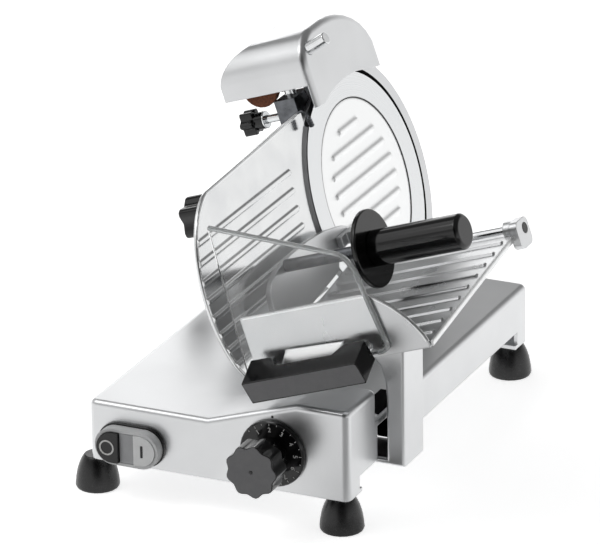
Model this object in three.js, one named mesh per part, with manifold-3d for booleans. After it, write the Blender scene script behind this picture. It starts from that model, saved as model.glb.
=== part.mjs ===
// Electric gravity-feed food slicer with a round blade.
// Millimetres, +Z up. The operator stands at -Y and feeds food from +X towards the blade.
import * as THREE from 'three';
import { mergeVertices } from 'three/addons/utils/BufferGeometryUtils.js';
import { ConvexGeometry } from 'three/addons/geometries/ConvexGeometry.js';
import Module from 'manifold-3d';

const wasm = await Module();
wasm.setup();

// Fits
const FIT = 0.3; // gap between pieces that seat on each other
const RUNNING_GAP = 3; // gap between the turning blade and fixed sheet near it
const OVERSHOOT = 1; // how far a cutter runs past the face it opens

// Base
const BASE_LEFT = -3.5;
const BASE_WIDTH = 261; // from the origin to the right side
const BASE_LENGTH = 424;
const BASE_WALL = 4;
const BASE_CORNER = 7;
const BASE_EDGE_ROUND = 5.5;
const DECK_HEIGHT = 92;
const HUMP_HEIGHT = 121;
const HUMP_DEPTH = 65;
const SLOPE_FOOT_INSET = 143; // from the base's right side
const SLOPE_TOP_INSET = 53;
const SKIRT_LIFT = 17; // how much higher the right wall ends between the corner legs
const LEG_LENGTH = 25;
const POCKET_LENGTH = 74;
const POCKET_TOP_MARGIN = 4;
const FOOT_HEIGHT = 32.7;
const FOOT_RADIUS = 21;
const FOOT_TOP_RADIUS = 12;
const FOOT_INSET = 13;
const FOOT_LEFT_X = -2.5;
const PAD_SIZE = 30;
const COVER_SHEET = 1.5;
const BOTTOM_COVER_WIDTH = 184;

// Switch on the front panel
const SWITCH_X = 41.5;
const SWITCH_Z = 55;
const SWITCH_LENGTH = 65;
const SWITCH_HEIGHT = 36;
const SWITCH_RIM = 3;
const SWITCH_DEPTH = 10;
const SWITCH_FLOOR = 1.7;
const GASKET_THICKNESS = 3;
const GASKET_LIP = 1.5;
const WINDOW_WIDTH = 15;
const BUTTON_TRAVEL = 3;
const OFF_BUTTON_PROUD = 4;
const ON_BUTTON_PROUD = 1;
const SWITCH_BODY_DEPTH = 34;
const SWITCH_BODY_LENGTH = 50;

// Blade and its drive, in the tilted frame whose x axis is the feed direction
const TILT_DEGREES = 18.9;
const BLADE_INSET = 121; // from the base's right side to the blade's centre
const BLADE_Y = 316;
const BLADE_Z = 215;
const BLADE_RADIUS = 110;
const BLADE_DEPTH = 8;
const BLADE_BEVEL = 18;
const COVER_RADIUS = 85;
const COVER_THICKNESS = 5;
const BLADE_BORE = 9;
const RIB_PITCH = 17;
const RIB_WIDTH = 6.5;
const RIB_HEIGHT = 1.8;
const RING_OUTER = 127;
const RING_GAP = 4.5;
const RING_START_DEGREES = -115;
const RING_END_DEGREES = 105;
const BACK_PLATE = 5;
const BACK_PLATE_RADIUS = 104;
const BACK_PLATE_GAP = 3;
const HOUSING_LENGTH = 118;
const HOUSING_NEAR = 60;
const HOUSING_FAR = 70;
const HOUSING_TOP = 42;
const HOUSING_WALL = 5;
const HOUSING_FRONT_WALL = 9;
const HOUSING_ROUND = 18;
const VENT_COUNT = 5;
const VENT_WIDTH = 5;
const VENT_LENGTH = 50;
const HUB_RADIUS = 15;
const HUB_BORE = 8;
const HUB_FLANGE_RADIUS = 32;
const BEARING_RING = 6.4;
const PULLEY_WIDTH = 12;
const PULLEY_GAP = 8;
const BLADE_PULLEY_RADIUS = 26;
const MOTOR_PULLEY_RADIUS = 12;
const MOTOR_RADIUS = 36;
const MOTOR_LENGTH = 64;
const MOTOR_DROP = 46;
const MOTOR_SHAFT_RADIUS = 6;
const MOTOR_PLATE = 4;
const BELT_THICKNESS = 2;
const TIE_ROD_RADIUS = 5;
const COVER_KNOB_REACH = 200;
const COVER_KNOB_LENGTH = 22;
const COVER_KNOB_RADIUS = 22.5;
const COVER_KNOB_LOBES = 5;
const COVER_KNOB_LOBE_DEPTH = 7;
const DEFLECTOR_SHEET = 2;
const DEFLECTOR_LENGTH = 70;
const DEFLECTOR_HEIGHT = 90;

// Gauge plate and its thickness control
const GAUGE_SETTING = 1.5; // how far the plate stands behind the cutting plane
const GAUGE_PLATE = 4;
const GAUGE_TOP = 101;
const GAUGE_BOTTOM = 95;
const GAUGE_FAR = 72;
const GAUGE_NEAR = 343;
const GAUGE_TOP_ROUND = 60;
const GAUGE_BOTTOM_ROUND = 67;
const GAUGE_TOP_DROP = 7;
const GAUGE_BLADE_GAP = 0.5;
const GAUGE_CORNER = 64; // in front of the blade axis, where the plate's lower edge ends
const GAUGE_CURVE_STEPS = 12;
const GAUGE_RIB_COUNT = 9;
const GAUGE_RIB_TOP = 58.6;
const GAUGE_RIB_SETBACK = 22;
const GAUGE_RIB_FAR = 113;
const GAUGE_ROD_RADIUS = 7;
const GAUGE_ROD_Y = 126;
const GAUGE_ROD_Z = 73;
const GAUGE_ROD_START = 30;
const GAUGE_ROD_CLEARANCE = 6; // between the rod's end and the slider
const GAUGE_LUG = 10;
const GAUGE_BLOCK_SETBACK = 22; // from the blade's centre to the block's left end
const GAUGE_BLOCK_LENGTH = 49;
const GAUGE_BLOCK_WIDTH = 40;
const GAUGE_BLOCK_HEIGHT = 22;
const GAUGE_RISER_SETBACK = 10; // from the blade's centre to the riser's left side
const GAUGE_RISER_LENGTH = 24;
const GAUGE_RISER_TOP = 175;
const GAUGE_TRAVEL = 12;
const GAUGE_SLOT_MARGIN = 3;

// Thickness knob
const DIAL_INSET = 75; // from the base's right side to the dial's centre
const DIAL_Z = 71;
const DIAL_RADIUS = 32.5;
const DIAL_THICKNESS = 5;
const KNOB_RADIUS = 26;
const KNOB_REACH = 50;
const KNOB_HEAD = 22;
const KNOB_NECK_RADIUS = 17;
const KNOB_LOBES = 9;
const KNOB_LOBE_DEPTH = 2.9;
const DIAL_CHAMFER = 1.5;
const SPINDLE_RADIUS = 6;
const SPINDLE_SOCKET = 17;
const CAM_START = 8;
const CAM_THICKNESS = 8;
const CAM_RADIUS = 20;
const CAM_RISE_PER_DEGREE = 0.05;
const CAM_FALL_DEGREES = 60;
const CAM_LEAD_IN_DEGREES = 45;
const FOLLOWER_RADIUS = 4;
const FOLLOWER_BAR = 10;

// Carriage
const SLIDE_ROD_RADIUS = 9;
const SLIDE_ROD_INSET = 46; // from the base's right side
const SLIDE_ROD_Z = 64;
const SLIDE_ROD_START = 24;
const SLIDE_LUG = 10;
const SLIDER_WIDTH = 34;
const SLIDER_LENGTH = 72;
const SLIDER_HEIGHT = 30;
const ARM_NEAR = 75;
const ARM_WIDTH = 45;
const ARM_THICKNESS = 7;
const ARM_EDGE_ROUND = 3;
const POST_THICKNESS = 18.5;
const POST_WALL_GAP = 4.5;
const POST_FLARE_REACH = 40;
const POST_FLARE_BOTTOM = 110;
const POST_FLARE_TOP = 158;
const TRAY_BOTTOM = 73; // below the blade axis, where the floor meets the near wall
const TRAY_NEAR = 320; // in front of the blade axis, inner face of the near wall
const TRAY_START = 13;
const TRAY_END = 192;
const TRAY_DEPTH = 213;
const TRAY_RISE_DEGREES = 7;
const TRAY_SHEET = 4;
const TRAY_RIB_PITCH = 22;
const TRAY_RIB_MARGIN = 6;
const NEAR_WALL_HEIGHT = 56;
const NEAR_WALL_ROUND = 49;
const GUARD_SHEET = 5;
const GUARD_START = 7;
const GUARD_TOP = 73;
const GUARD_LEAN = 6;
const GUARD_WIDTH = 140;
const GUARD_TOP_DROP = 46;
const GUARD_SHOULDER = 18;
const GUARD_SPREAD = 6;
const GUARD_CORNER = 6;
const HANDLE_START = 23;
const HANDLE_WIDTH = 120;
const HANDLE_REACH = 39; // from the guard to the bar's front
const HANDLE_STUD = 9; // length of bolt that shows between the guard and the handle
const HANDLE_ARM = 21;
const HANDLE_FILLET = 10;
const HANDLE_BAR = 18;
const HANDLE_HEIGHT = 20.5;
const HANDLE_RISE = 12; // how much higher the arms meet the bolts
const HANDLE_DROP = 14; // how far the bar's underside hangs below the tray's corner
const HANDLE_LEAN = 0.25; // sideways for each millimetre of height
const BOLT_RADIUS = 5.5;
const BOLT_HEAD_RADIUS = 7;
const BOLT_HEAD = 4;

// Pusher
const PUSHER_ROD_RADIUS = 5;
const PUSHER_ROD_FAR = 98; // in front of the blade axis
const PUSHER_ROD_DROP = 45;
const BOSS_THICKNESS = 8;
const BOSS_NEAR = 17; // from the rod's axis towards the operator
const BOSS_FAR = 9;
const BOSS_TOP = 10;
const BOSS_BOTTOM = 17;
const BOSS_ROUND = 7;
const COLLAR_LENGTH = 11;
const COLLAR_RADIUS = 9;
const LEFT_BOSS = 8;
const LEFT_BOSS_FAR = 8;
const LEFT_BOSS_TOP = 9;
const LEFT_BOSS_BOTTOM = 10;
const EYE_START = 26; // where the pusher arm's eye sits on the rod
const EYE_LENGTH = 14;
const SLEEVE_LENGTH = 22;
const SLEEVE_RADIUS = 8.5;
const PUSHER_ARM = 6;
const PUSHER_BAR = 11;
const PUSHER_BAR_RISE = 19; // above the rod's axis
const PUSHER_PAD = 20;
const PUSHER_CLEAR = 20; // room round the rod for its boss
const GRIP_AXIS_NEAR = 219;
const GRIP_AXIS_DROP = 5;
const GRIP_RADIUS = 17;
const GRIP_LENGTH = 95;
const DISC_RADIUS = 37;
const DISC_THICKNESS = 5;
const DISC_START = 105;
const PUSHER_SHAFT_RADIUS = 6;
const PUSHER_PLATE_START = 9.5;
const PUSHER_PLATE = 6;
const PUSHER_PLATE_NEAR = 263; // in front of the blade axis
const PUSHER_PLATE_ROUND = 30;
const PUSHER_PLATE_LOBE = 26; // beyond the rod's axis
const PUSHER_PLATE_CROWN = 6;
const PUSHER_PLATE_GAP = 5;
const TOOTH_HEIGHT = 3;
const TOOTH_WIDTH = 7;
const TOOTH_COLUMNS = 5;
const TOOTH_ROWS = 2;

// Sharpener on top of the blade guard
const HOOD_NEAR = 52;
const HOOD_FAR = 92;
const HOOD_BACK = 90;
const HOOD_FRONT = 6;
const HOOD_BOTTOM = 118;
const HOOD_TOP = 166;
const HOOD_WALL = 3;
const HOOD_NEAR_ROUND = 34;
const HOOD_BACK_ROUND = 44;
const HOOD_BACK_RISE = 32;
const HOOD_FAR_ROUND = 86;
const HOOD_EDGE_ROUND = 7; // between the face on the food side and the rest
const SKIRT_DEPTH = 5;
const SKIRT_NEAR_BOTTOM = 96;
const SKIRT_FAR_BOTTOM = 90;
const SKIRT_ARC_RISE = 12;
const SHARPENER_AXIS_BACK = 27;
const SHARPENER_AXIS_NEAR = 37;
const BRACKET_LENGTH = 22;
const BRACKET_WIDTH = 34;
const BRACKET_BOTTOM = 76;
const BRACKET_TOP = 110;
const SHARPENER_POST_RADIUS = 6;
const SHARPENER_POST_BOTTOM = 70;
const LOCK_HEIGHT = 91;
const LOCK_SCREW_RADIUS = 4;
const LOCK_KNOB_RADIUS = 13;
const LOCK_KNOB_LOBES = 6;
const LOCK_KNOB_LOBE_DEPTH = 4;
const LOCK_KNOB_LENGTH = 13;
const LOCK_HUB_RADIUS = 8.5;
const LOCK_HUB_LENGTH = 9;
const LOCK_SCREW_LENGTH = 24;
const STONE_RADIUS = 18.5;
const STONE_THICKNESS = 8;
const STONE_BACK = 53;
const STONE_HEIGHT = 123.5;
const STONE_SHAFT_RADIUS = 4;
const STONE_SHAFT_CLEAR = 8;
const CARRIER_WIDTH = 22;
const CARRIER_HEIGHT = 14;
const PUSH_BUTTON_RADIUS = 6;
const PUSH_BUTTON_REACH = 22;
const PUSH_BUTTON_STEM = 10;
const PUSH_BUTTON_NEAR = 35;
const PUSH_BUTTON_HEIGHT = 150;
const PUSH_BUTTON_LIFT_DEGREES = 17;

// Cable gland in the rear wall
const GLAND_RADIUS = 9;
const GLAND_BORE = 4;
const GLAND_LENGTH = 12;
const GLAND_X = 60;
const GLAND_Z = 60;

// Sizes that follow from the ones above
const BASE_BOTTOM = FOOT_HEIGHT + FIT;
const SLIDE_ROD_X = BASE_WIDTH - SLIDE_ROD_INSET;
const TRAY_RIB_COUNT = Math.floor((TRAY_DEPTH - RIB_WIDTH) / TRAY_RIB_PITCH);
const BLADE_X = BASE_WIDTH - BLADE_INSET;
const DIAL_X = BASE_WIDTH - DIAL_INSET;
const SLOPE_FOOT_X = BASE_WIDTH - SLOPE_FOOT_INSET;
const SLOPE_TOP_X = BASE_WIDTH - SLOPE_TOP_INSET;
const GAUGE_BLOCK_X = BLADE_X - GAUGE_BLOCK_SETBACK;
const GAUGE_RISER_X = BLADE_X - GAUGE_RISER_SETBACK;
const GAUGE_ROD_END = SLIDE_ROD_X - SLIDER_WIDTH / 2 - GAUGE_ROD_CLEARANCE;
const TILT = THREE.MathUtils.degToRad(TILT_DEGREES);
const COVER_FACE = -0.6;
const COVER_BACK = COVER_FACE - COVER_THICKNESS;
const BLADE_RECESS = COVER_BACK - FIT;
const BLADE_BACK = -BLADE_DEPTH;
const PLATE_FACE = BLADE_BACK - BACK_PLATE_GAP;
const PLATE_BACK = PLATE_FACE - BACK_PLATE;
const HOUSING_FACE = PLATE_BACK + OVERSHOOT;
const HOUSING_BACK = HOUSING_FACE - HOUSING_LENGTH;
const FRONT_WALL_BACK = HOUSING_FACE - HOUSING_FRONT_WALL;
const PULLEY_FACE = FRONT_WALL_BACK - PULLEY_GAP;
const PULLEY_BACK = PULLEY_FACE - PULLEY_WIDTH;
const MOTOR_PLATE_FACE = PULLEY_BACK - RUNNING_GAP;
const MOTOR_PLATE_BACK = MOTOR_PLATE_FACE - MOTOR_PLATE;
const MOTOR_Y = (HOUSING_FAR - HOUSING_NEAR) / 2;
const GAUGE_FACE = -GAUGE_SETTING - RIB_HEIGHT;
const GAUGE_BACK = GAUGE_FACE - GAUGE_PLATE;
const WALL_FRONT = -TRAY_NEAR - TRAY_SHEET;
const GUARD_BACK = WALL_FRONT - FIT;
const GUARD_FRONT = GUARD_BACK - GUARD_SHEET;
const DISC_END = DISC_START + FIT + DISC_THICKNESS;
const BRACKET_FACE = PLATE_BACK - FIT;
const BRACKET_BACK = BRACKET_FACE - BRACKET_LENGTH;

// Materials: colour, roughness and metalness
const LOOKS = {
  satinAluminium: { color: 0xc9cacb, roughness: 0.42, metalness: 0.9 },
  polishedAluminium: { color: 0xd9dadb, roughness: 0.16, metalness: 1 },
  bladeSteel: { color: 0xe3e4e5, roughness: 0.12, metalness: 1 },
  chrome: { color: 0xf0f0f0, roughness: 0.06, metalness: 1 },
  darkSteel: { color: 0x6b6d70, roughness: 0.35, metalness: 0.9 },
  blackPlastic: { color: 0x151516, roughness: 0.45, metalness: 0 },
  greyPlastic: { color: 0x9a9b9c, roughness: 0.5, metalness: 0 },
  palePlastic: { color: 0xc6c7c7, roughness: 0.5, metalness: 0 },
  rubber: { color: 0x111112, roughness: 0.75, metalness: 0 },
  clearPlastic: { color: 0xf2f5f5, roughness: 0.05, metalness: 0 },
  brownStone: { color: 0x6e3a22, roughness: 0.95, metalness: 0 },
  motorSteel: { color: 0x4b4d52, roughness: 0.5, metalness: 0.7 },
};

const tiltMatrix = new THREE.Matrix4()
  .makeRotationY(-TILT)
  .setPosition(BLADE_X, BLADE_Y, BLADE_Z);
const untiltMatrix = tiltMatrix.clone().invert();

// Booleans

function solidOf(geometry) {
  const bare = geometry.index ? geometry.toNonIndexed() : geometry.clone();
  bare.deleteAttribute('normal');
  bare.deleteAttribute('uv');
  const merged = mergeVertices(bare, 1e-4);
  const index = merged.index.array;
  const position = merged.attributes.position.array;
  const corner = (i) => new THREE.Vector3().fromArray(position, 3 * i);
  const triangles = [];
  let volume = 0;
  for (let i = 0; i < index.length; i += 3) {
    const [a, b, c] = [index[i], index[i + 1], index[i + 2]];
    if (a === b || b === c || c === a) continue;
    triangles.push(a, b, c);
    volume += corner(a).dot(corner(b).cross(corner(c)));
  }
  if (volume < 0) triangles.reverse();
  return new wasm.Manifold(
    new wasm.Mesh({
      numProp: 3,
      vertProperties: new Float32Array(position),
      triVerts: new Uint32Array(triangles),
    }),
  );
}

function geometryOf(solid) {
  const mesh = solid.getMesh();
  const geometry = new THREE.BufferGeometry();
  const positions = new Float32Array(mesh.numVert * 3);
  for (let i = 0; i < mesh.numVert; i += 1) {
    for (let k = 0; k < 3; k += 1) positions[3 * i + k] = mesh.vertProperties[mesh.numProp * i + k];
  }
  geometry.setAttribute('position', new THREE.BufferAttribute(positions, 3));
  geometry.setIndex(new THREE.BufferAttribute(new Uint32Array(mesh.triVerts), 1));
  return geometry;
}

function join(...pieces) {
  return geometryOf(pieces.map(solidOf).reduce((sum, piece) => sum.add(piece)));
}

function cut(body, ...cutters) {
  return geometryOf(cutters.map(solidOf).reduce((rest, piece) => rest.subtract(piece), solidOf(body)));
}

function common(a, b) {
  return geometryOf(solidOf(a).intersect(solidOf(b)));
}

// Basic shapes. An outline lies in the plane named by its two axes.

const PLANES = {
  xy: new THREE.Matrix4(),
  yz: new THREE.Matrix4().set(0, 0, 1, 0, 1, 0, 0, 0, 0, 1, 0, 0, 0, 0, 0, 1),
  xz: new THREE.Matrix4().set(1, 0, 0, 0, 0, 0, -1, 0, 0, 1, 0, 0, 0, 0, 0, 1),
};

function prism(outline, plane, from, to, curveSegments = 5) {
  const geometry = new THREE.ExtrudeGeometry(outline, {
    depth: to - from,
    bevelEnabled: false,
    curveSegments,
  });
  geometry.translate(0, 0, plane === 'xz' ? -to : from);
  return geometry.applyMatrix4(PLANES[plane]);
}

// A prism whose edges at both ends are rounded
function softPrism(outline, plane, from, to, radius, curveSegments = 5) {
  const geometry = new THREE.ExtrudeGeometry(outline, {
    depth: to - from - 2 * radius,
    bevelThickness: radius,
    bevelSize: radius,
    bevelOffset: -radius,
    bevelSegments: 4,
    curveSegments,
  });
  geometry.translate(0, 0, (plane === 'xz' ? -to : from) + radius);
  return geometry.applyMatrix4(PLANES[plane]);
}

function polygon(points) {
  return new THREE.Shape(points.map(([a, b]) => new THREE.Vector2(a, b)));
}

function roundedRect(a0, a1, b0, b1, radius) {
  const shape = new THREE.Shape();
  const quarter = Math.PI / 2;
  shape.absarc(a1 - radius, b0 + radius, radius, -quarter, 0);
  shape.absarc(a1 - radius, b1 - radius, radius, 0, quarter);
  shape.absarc(a0 + radius, b1 - radius, radius, quarter, 2 * quarter);
  shape.absarc(a0 + radius, b0 + radius, radius, 2 * quarter, 3 * quarter);
  return shape;
}

function box(x0, x1, y0, y1, z0, z1) {
  const geometry = new THREE.BoxGeometry(x1 - x0, y1 - y0, z1 - z0);
  return geometry.translate((x0 + x1) / 2, (y0 + y1) / 2, (z0 + z1) / 2);
}

function turned(profile, axis, segments = 24) {
  const points = profile.map(([radius, along]) => new THREE.Vector2(radius, along));
  const geometry = new THREE.LatheGeometry(points, segments);
  if (axis === 'x') geometry.rotateZ(-Math.PI / 2);
  if (axis === 'z') geometry.rotateX(Math.PI / 2);
  return geometry;
}

function rod(axis, radius, from, to, segments = 20) {
  return turned([[0, from], [radius, from], [radius, to], [0, to]], axis, segments);
}

function tube(axis, outer, inner, from, to, segments = 24) {
  return turned([[inner, from], [outer, from], [outer, to], [inner, to], [inner, from]], axis, segments);
}

// Outline of a hand knob with rounded lobes
function lobed(radius, lobes, depth) {
  const steps = lobes * 6;
  const points = [];
  for (let i = 0; i < steps; i += 1) {
    const angle = (2 * Math.PI * i) / steps;
    const r = radius - (depth * (1 - Math.cos(lobes * angle))) / 2;
    points.push([r * Math.cos(angle), r * Math.sin(angle)]);
  }
  return polygon(points);
}

// One rounded rib standing on a plane, running from `from` to `to` along an axis
function rib(width, height, plane, from, to) {
  const half = width / 2;
  const profile = polygon([
    [-half, -OVERSHOOT],
    [half, -OVERSHOOT],
    [half, 0],
    [half / 2, height],
    [-half / 2, height],
    [-half, 0],
  ]);
  return prism(profile, plane, from, to);
}

const root = new THREE.Group();
const level = new THREE.Group();
const tilted = new THREE.Group();
tilted.applyMatrix4(tiltMatrix);
level.add(tilted);
root.add(level);

function add(group, name, geometry, look) {
  const clean = geometryOf(solidOf(geometry));
  clean.computeVertexNormals();
  const mesh = new THREE.Mesh(clean, new THREE.MeshStandardMaterial(LOOKS[look]));
  mesh.name = name;
  group.add(mesh);
}

// Base

// Outline of the raised front, whose slope runs on below the deck by the given depth
function humpProfile(inset, depth) {
  const run = (depth * (SLOPE_TOP_X - SLOPE_FOOT_X)) / (HUMP_HEIGHT - DECK_HEIGHT);
  const right = BASE_WIDTH + BASE_CORNER;
  const bottom = BASE_BOTTOM - BASE_CORNER;
  return polygon([
    [SLOPE_FOOT_X - run, DECK_HEIGHT - inset - depth],
    [SLOPE_TOP_X, HUMP_HEIGHT - inset],
    [right, HUMP_HEIGHT - inset],
    [right, bottom],
    [SLOPE_FOOT_X - run, bottom],
  ]);
}

function baseInside() {
  const left = BASE_LEFT + BASE_WALL;
  const right = BASE_WIDTH - BASE_WALL;
  const radius = BASE_CORNER - BASE_WALL;
  const bottom = BASE_BOTTOM - OVERSHOOT;
  const footprint = roundedRect(left, right, BASE_WALL, BASE_LENGTH - BASE_WALL, radius);
  const humpFootprint = roundedRect(left, right, BASE_WALL, HUMP_DEPTH - BASE_WALL, radius);
  const hump = common(
    prism(humpFootprint, 'xy', bottom, HUMP_HEIGHT - BASE_WALL),
    prism(humpProfile(BASE_WALL, 0), 'xz', 0, HUMP_DEPTH),
  );
  return join(prism(footprint, 'xy', bottom, DECK_HEIGHT - BASE_WALL), hump);
}

function baseOutside() {
  const round = BASE_EDGE_ROUND;
  const bottom = BASE_BOTTOM - BASE_CORNER;
  const footprint = roundedRect(BASE_LEFT, BASE_WIDTH, 0, BASE_LENGTH, BASE_CORNER);
  const humpFootprint = roundedRect(BASE_LEFT, BASE_WIDTH, 0, HUMP_DEPTH, BASE_CORNER);
  const hump = common(
    softPrism(humpFootprint, 'xy', bottom, HUMP_HEIGHT, round),
    softPrism(humpProfile(0, round), 'xz', 0, HUMP_DEPTH, round),
  );
  const whole = join(softPrism(footprint, 'xy', bottom, DECK_HEIGHT, round), hump);
  return cut(whole, box(-BASE_LENGTH, BASE_LENGTH, -BASE_CORNER, 2 * BASE_LENGTH, 0, BASE_BOTTOM));
}

function gaugeSlot() {
  const half = GAUGE_BLOCK_WIDTH / 2 + GAUGE_SLOT_MARGIN;
  return box(
    GAUGE_RISER_X - GAUGE_TRAVEL - GAUGE_SLOT_MARGIN,
    GAUGE_RISER_X + GAUGE_RISER_LENGTH + GAUGE_SETTING + GAUGE_SLOT_MARGIN,
    GAUGE_ROD_Y - half,
    GAUGE_ROD_Y + half,
    DECK_HEIGHT - BASE_WALL - OVERSHOOT,
    DECK_HEIGHT + OVERSHOOT,
  );
}

function gaugeLug(x) {
  const half = GAUGE_BLOCK_WIDTH / 2;
  const top = DECK_HEIGHT - BASE_WALL + OVERSHOOT;
  const bottom = GAUGE_ROD_Z - GAUGE_BLOCK_HEIGHT / 2;
  return box(x, x + GAUGE_LUG, GAUGE_ROD_Y - half, GAUGE_ROD_Y + half, bottom, top);
}

// Lug behind the spiral cam that holds the near end of the carriage's slide rod
function slideLug() {
  const half = SLIDER_WIDTH / 2;
  const blank = box(
    SLIDE_ROD_X - half,
    SLIDE_ROD_X + half,
    SLIDE_ROD_START,
    SLIDE_ROD_START + SLIDE_LUG,
    SLIDE_ROD_Z - half,
    HUMP_HEIGHT - BASE_WALL + OVERSHOOT,
  );
  const bore = rod('y', SLIDE_ROD_RADIUS + FIT, 0, SLIDE_ROD_START + SLIDE_LUG + OVERSHOOT)
    .translate(SLIDE_ROD_X, 0, SLIDE_ROD_Z);
  return cut(blank, bore);
}

function baseShell() {
  const wallIn = BASE_WIDTH - BASE_WALL - OVERSHOOT;
  const wallOut = BASE_WIDTH + OVERSHOOT;
  const skirtTop = BASE_BOTTOM + SKIRT_LIFT;
  const skirt = box(wallIn, wallOut, LEG_LENGTH, BASE_LENGTH - LEG_LENGTH, 0, skirtTop);
  const pocket = box(
    wallIn,
    wallOut,
    HUMP_DEPTH,
    HUMP_DEPTH + POCKET_LENGTH,
    skirtTop - OVERSHOOT,
    DECK_HEIGHT - BASE_WALL - POCKET_TOP_MARGIN,
  );
  const spindleHole = rod('y', SPINDLE_RADIUS + FIT, -OVERSHOOT, BASE_WALL + OVERSHOOT)
    .translate(DIAL_X, 0, DIAL_Z);
  const glandHole = rod('y', GLAND_BORE, BASE_LENGTH - BASE_WALL - OVERSHOOT, BASE_LENGTH + OVERSHOOT)
    .translate(GLAND_X, 0, GLAND_Z);
  const shell = cut(baseOutside(), baseInside(), skirt, pocket, spindleHole, glandHole, gaugeSlot());
  const lastLug = GAUGE_ROD_END - GAUGE_LUG;
  const rodBore = rod('x', GAUGE_ROD_RADIUS + FIT, GAUGE_ROD_START - OVERSHOOT, BASE_WIDTH / 2)
    .translate(0, GAUGE_ROD_Y, GAUGE_ROD_Z);
  const rodBoreFar = rod('x', GAUGE_ROD_RADIUS + FIT, BASE_WIDTH / 2, GAUGE_ROD_END + OVERSHOOT)
    .translate(0, GAUGE_ROD_Y, GAUGE_ROD_Z);
  const lugged = cut(join(shell, gaugeLug(GAUGE_ROD_START), gaugeLug(lastLug)), rodBore, rodBoreFar);
  return join(lugged, slideLug(), ...cornerPads());
}

// Flat pads inside the corners that the feet screw to
function cornerPads() {
  const footprint = prism(
    roundedRect(BASE_LEFT, BASE_WIDTH, 0, BASE_LENGTH, BASE_CORNER),
    'xy',
    BASE_BOTTOM,
    BASE_BOTTOM + BASE_WALL,
  );
  const pads = [];
  for (const x of [BASE_LEFT, BASE_WIDTH - PAD_SIZE]) {
    for (const y of [0, BASE_LENGTH - PAD_SIZE]) {
      pads.push(common(footprint, box(x, x + PAD_SIZE, y, y + PAD_SIZE, 0, DECK_HEIGHT)));
    }
  }
  return pads;
}

function foot() {
  const profile = new THREE.SplineCurve([
    new THREE.Vector2(FOOT_RADIUS, FOOT_HEIGHT * 0.1),
    new THREE.Vector2(FOOT_RADIUS * 0.93, FOOT_HEIGHT * 0.45),
    new THREE.Vector2(FOOT_RADIUS * 0.76, FOOT_HEIGHT * 0.8),
    new THREE.Vector2(FOOT_TOP_RADIUS, FOOT_HEIGHT),
  ]).getPoints(5);
  return turned(
    [[0, 0], [FOOT_RADIUS * 0.95, 0], ...profile.map((p) => [p.x, p.y]), [0, FOOT_HEIGHT]],
    'z',
    20,
  );
}

function addBase() {
  add(level, 'base_shell', baseShell(), 'satinAluminium');
  const sheetBottom = BASE_BOTTOM + FIT;
  const cover = box(
    BASE_LEFT + BASE_WALL + FIT,
    BOTTOM_COVER_WIDTH,
    PAD_SIZE + FIT,
    BASE_LENGTH - PAD_SIZE - FIT,
    sheetBottom,
    sheetBottom + COVER_SHEET,
  );
  add(level, 'bottom_cover', cover, 'darkSteel');
  const right = BASE_WIDTH - FOOT_INSET;
  const rear = BASE_LENGTH - FOOT_INSET;
  const places = [[FOOT_LEFT_X, FOOT_INSET], [right, FOOT_INSET], [FOOT_LEFT_X, rear], [right, rear]];
  places.forEach(([x, y], i) => add(level, `foot_${i + 1}`, foot().translate(x, y, 0), 'rubber'));
}

// Switch

function stadium(grow) {
  const halfLength = SWITCH_LENGTH / 2 + grow;
  const halfHeight = SWITCH_HEIGHT / 2 + grow;
  return roundedRect(
    SWITCH_X - halfLength,
    SWITCH_X + halfLength,
    SWITCH_Z - halfHeight,
    SWITCH_Z + halfHeight,
    halfHeight - 0.01,
  );
}

function addSwitch() {
  const gasketFront = -FIT - GASKET_THICKNESS;
  const bezelBack = gasketFront - FIT;
  const bezelFront = bezelBack - SWITCH_DEPTH;
  const floor = bezelBack - SWITCH_FLOOR;
  const restBack = floor - BUTTON_TRAVEL - FIT;
  const halfWindow = WINDOW_WIDTH / 2;
  const far = SWITCH_LENGTH;
  const inside = (x0, x1, from, to) =>
    common(
      prism(stadium(-SWITCH_RIM - FIT), 'xz', from, to),
      box(SWITCH_X + x0, SWITCH_X + x1, from - OVERSHOOT, to + OVERSHOOT, 0, DECK_HEIGHT),
    );
  const bezel = cut(
    prism(stadium(0), 'xz', bezelFront, bezelBack),
    prism(stadium(-SWITCH_RIM), 'xz', bezelFront - OVERSHOOT, floor),
  );
  add(level, 'switch_gasket', prism(stadium(GASKET_LIP), 'xz', gasketFront, -FIT), 'rubber');
  add(level, 'switch_bezel', bezel, 'greyPlastic');
  const offFront = bezelFront - OFF_BUTTON_PROUD;
  const onFront = bezelFront - ON_BUTTON_PROUD;
  add(level, 'off_button', inside(-far, -halfWindow, offFront, restBack), 'blackPlastic');
  const window = inside(-halfWindow + FIT, halfWindow - FIT, bezelFront, floor - FIT);
  add(level, 'switch_window', window, 'greyPlastic');
  add(level, 'on_button', inside(halfWindow, far, onFront, restBack), 'palePlastic');
  const body = box(
    SWITCH_X - SWITCH_BODY_LENGTH / 2,
    SWITCH_X + SWITCH_BODY_LENGTH / 2,
    BASE_WALL + FIT,
    BASE_WALL + FIT + SWITCH_BODY_DEPTH,
    SWITCH_Z - SWITCH_HEIGHT / 2 + SWITCH_RIM,
    SWITCH_Z + SWITCH_HEIGHT / 2 - SWITCH_RIM,
  );
  add(level, 'switch_body', body, 'blackPlastic');
}

// Motor housing with the guard ring, and the drive inside it

function belowDeck() {
  const reach = BASE_LENGTH * 2;
  return box(-reach, reach, -reach, reach, -reach, DECK_HEIGHT + FIT).applyMatrix4(untiltMatrix);
}

function ringSector(inner, outer, from, to) {
  const start = THREE.MathUtils.degToRad(RING_START_DEGREES);
  const end = THREE.MathUtils.degToRad(RING_END_DEGREES);
  const shape = new THREE.Shape();
  shape.absarc(0, 0, outer, start, end, false);
  shape.absarc(0, 0, inner, end, start, true);
  return prism(shape, 'yz', from, to, 28);
}

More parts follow.
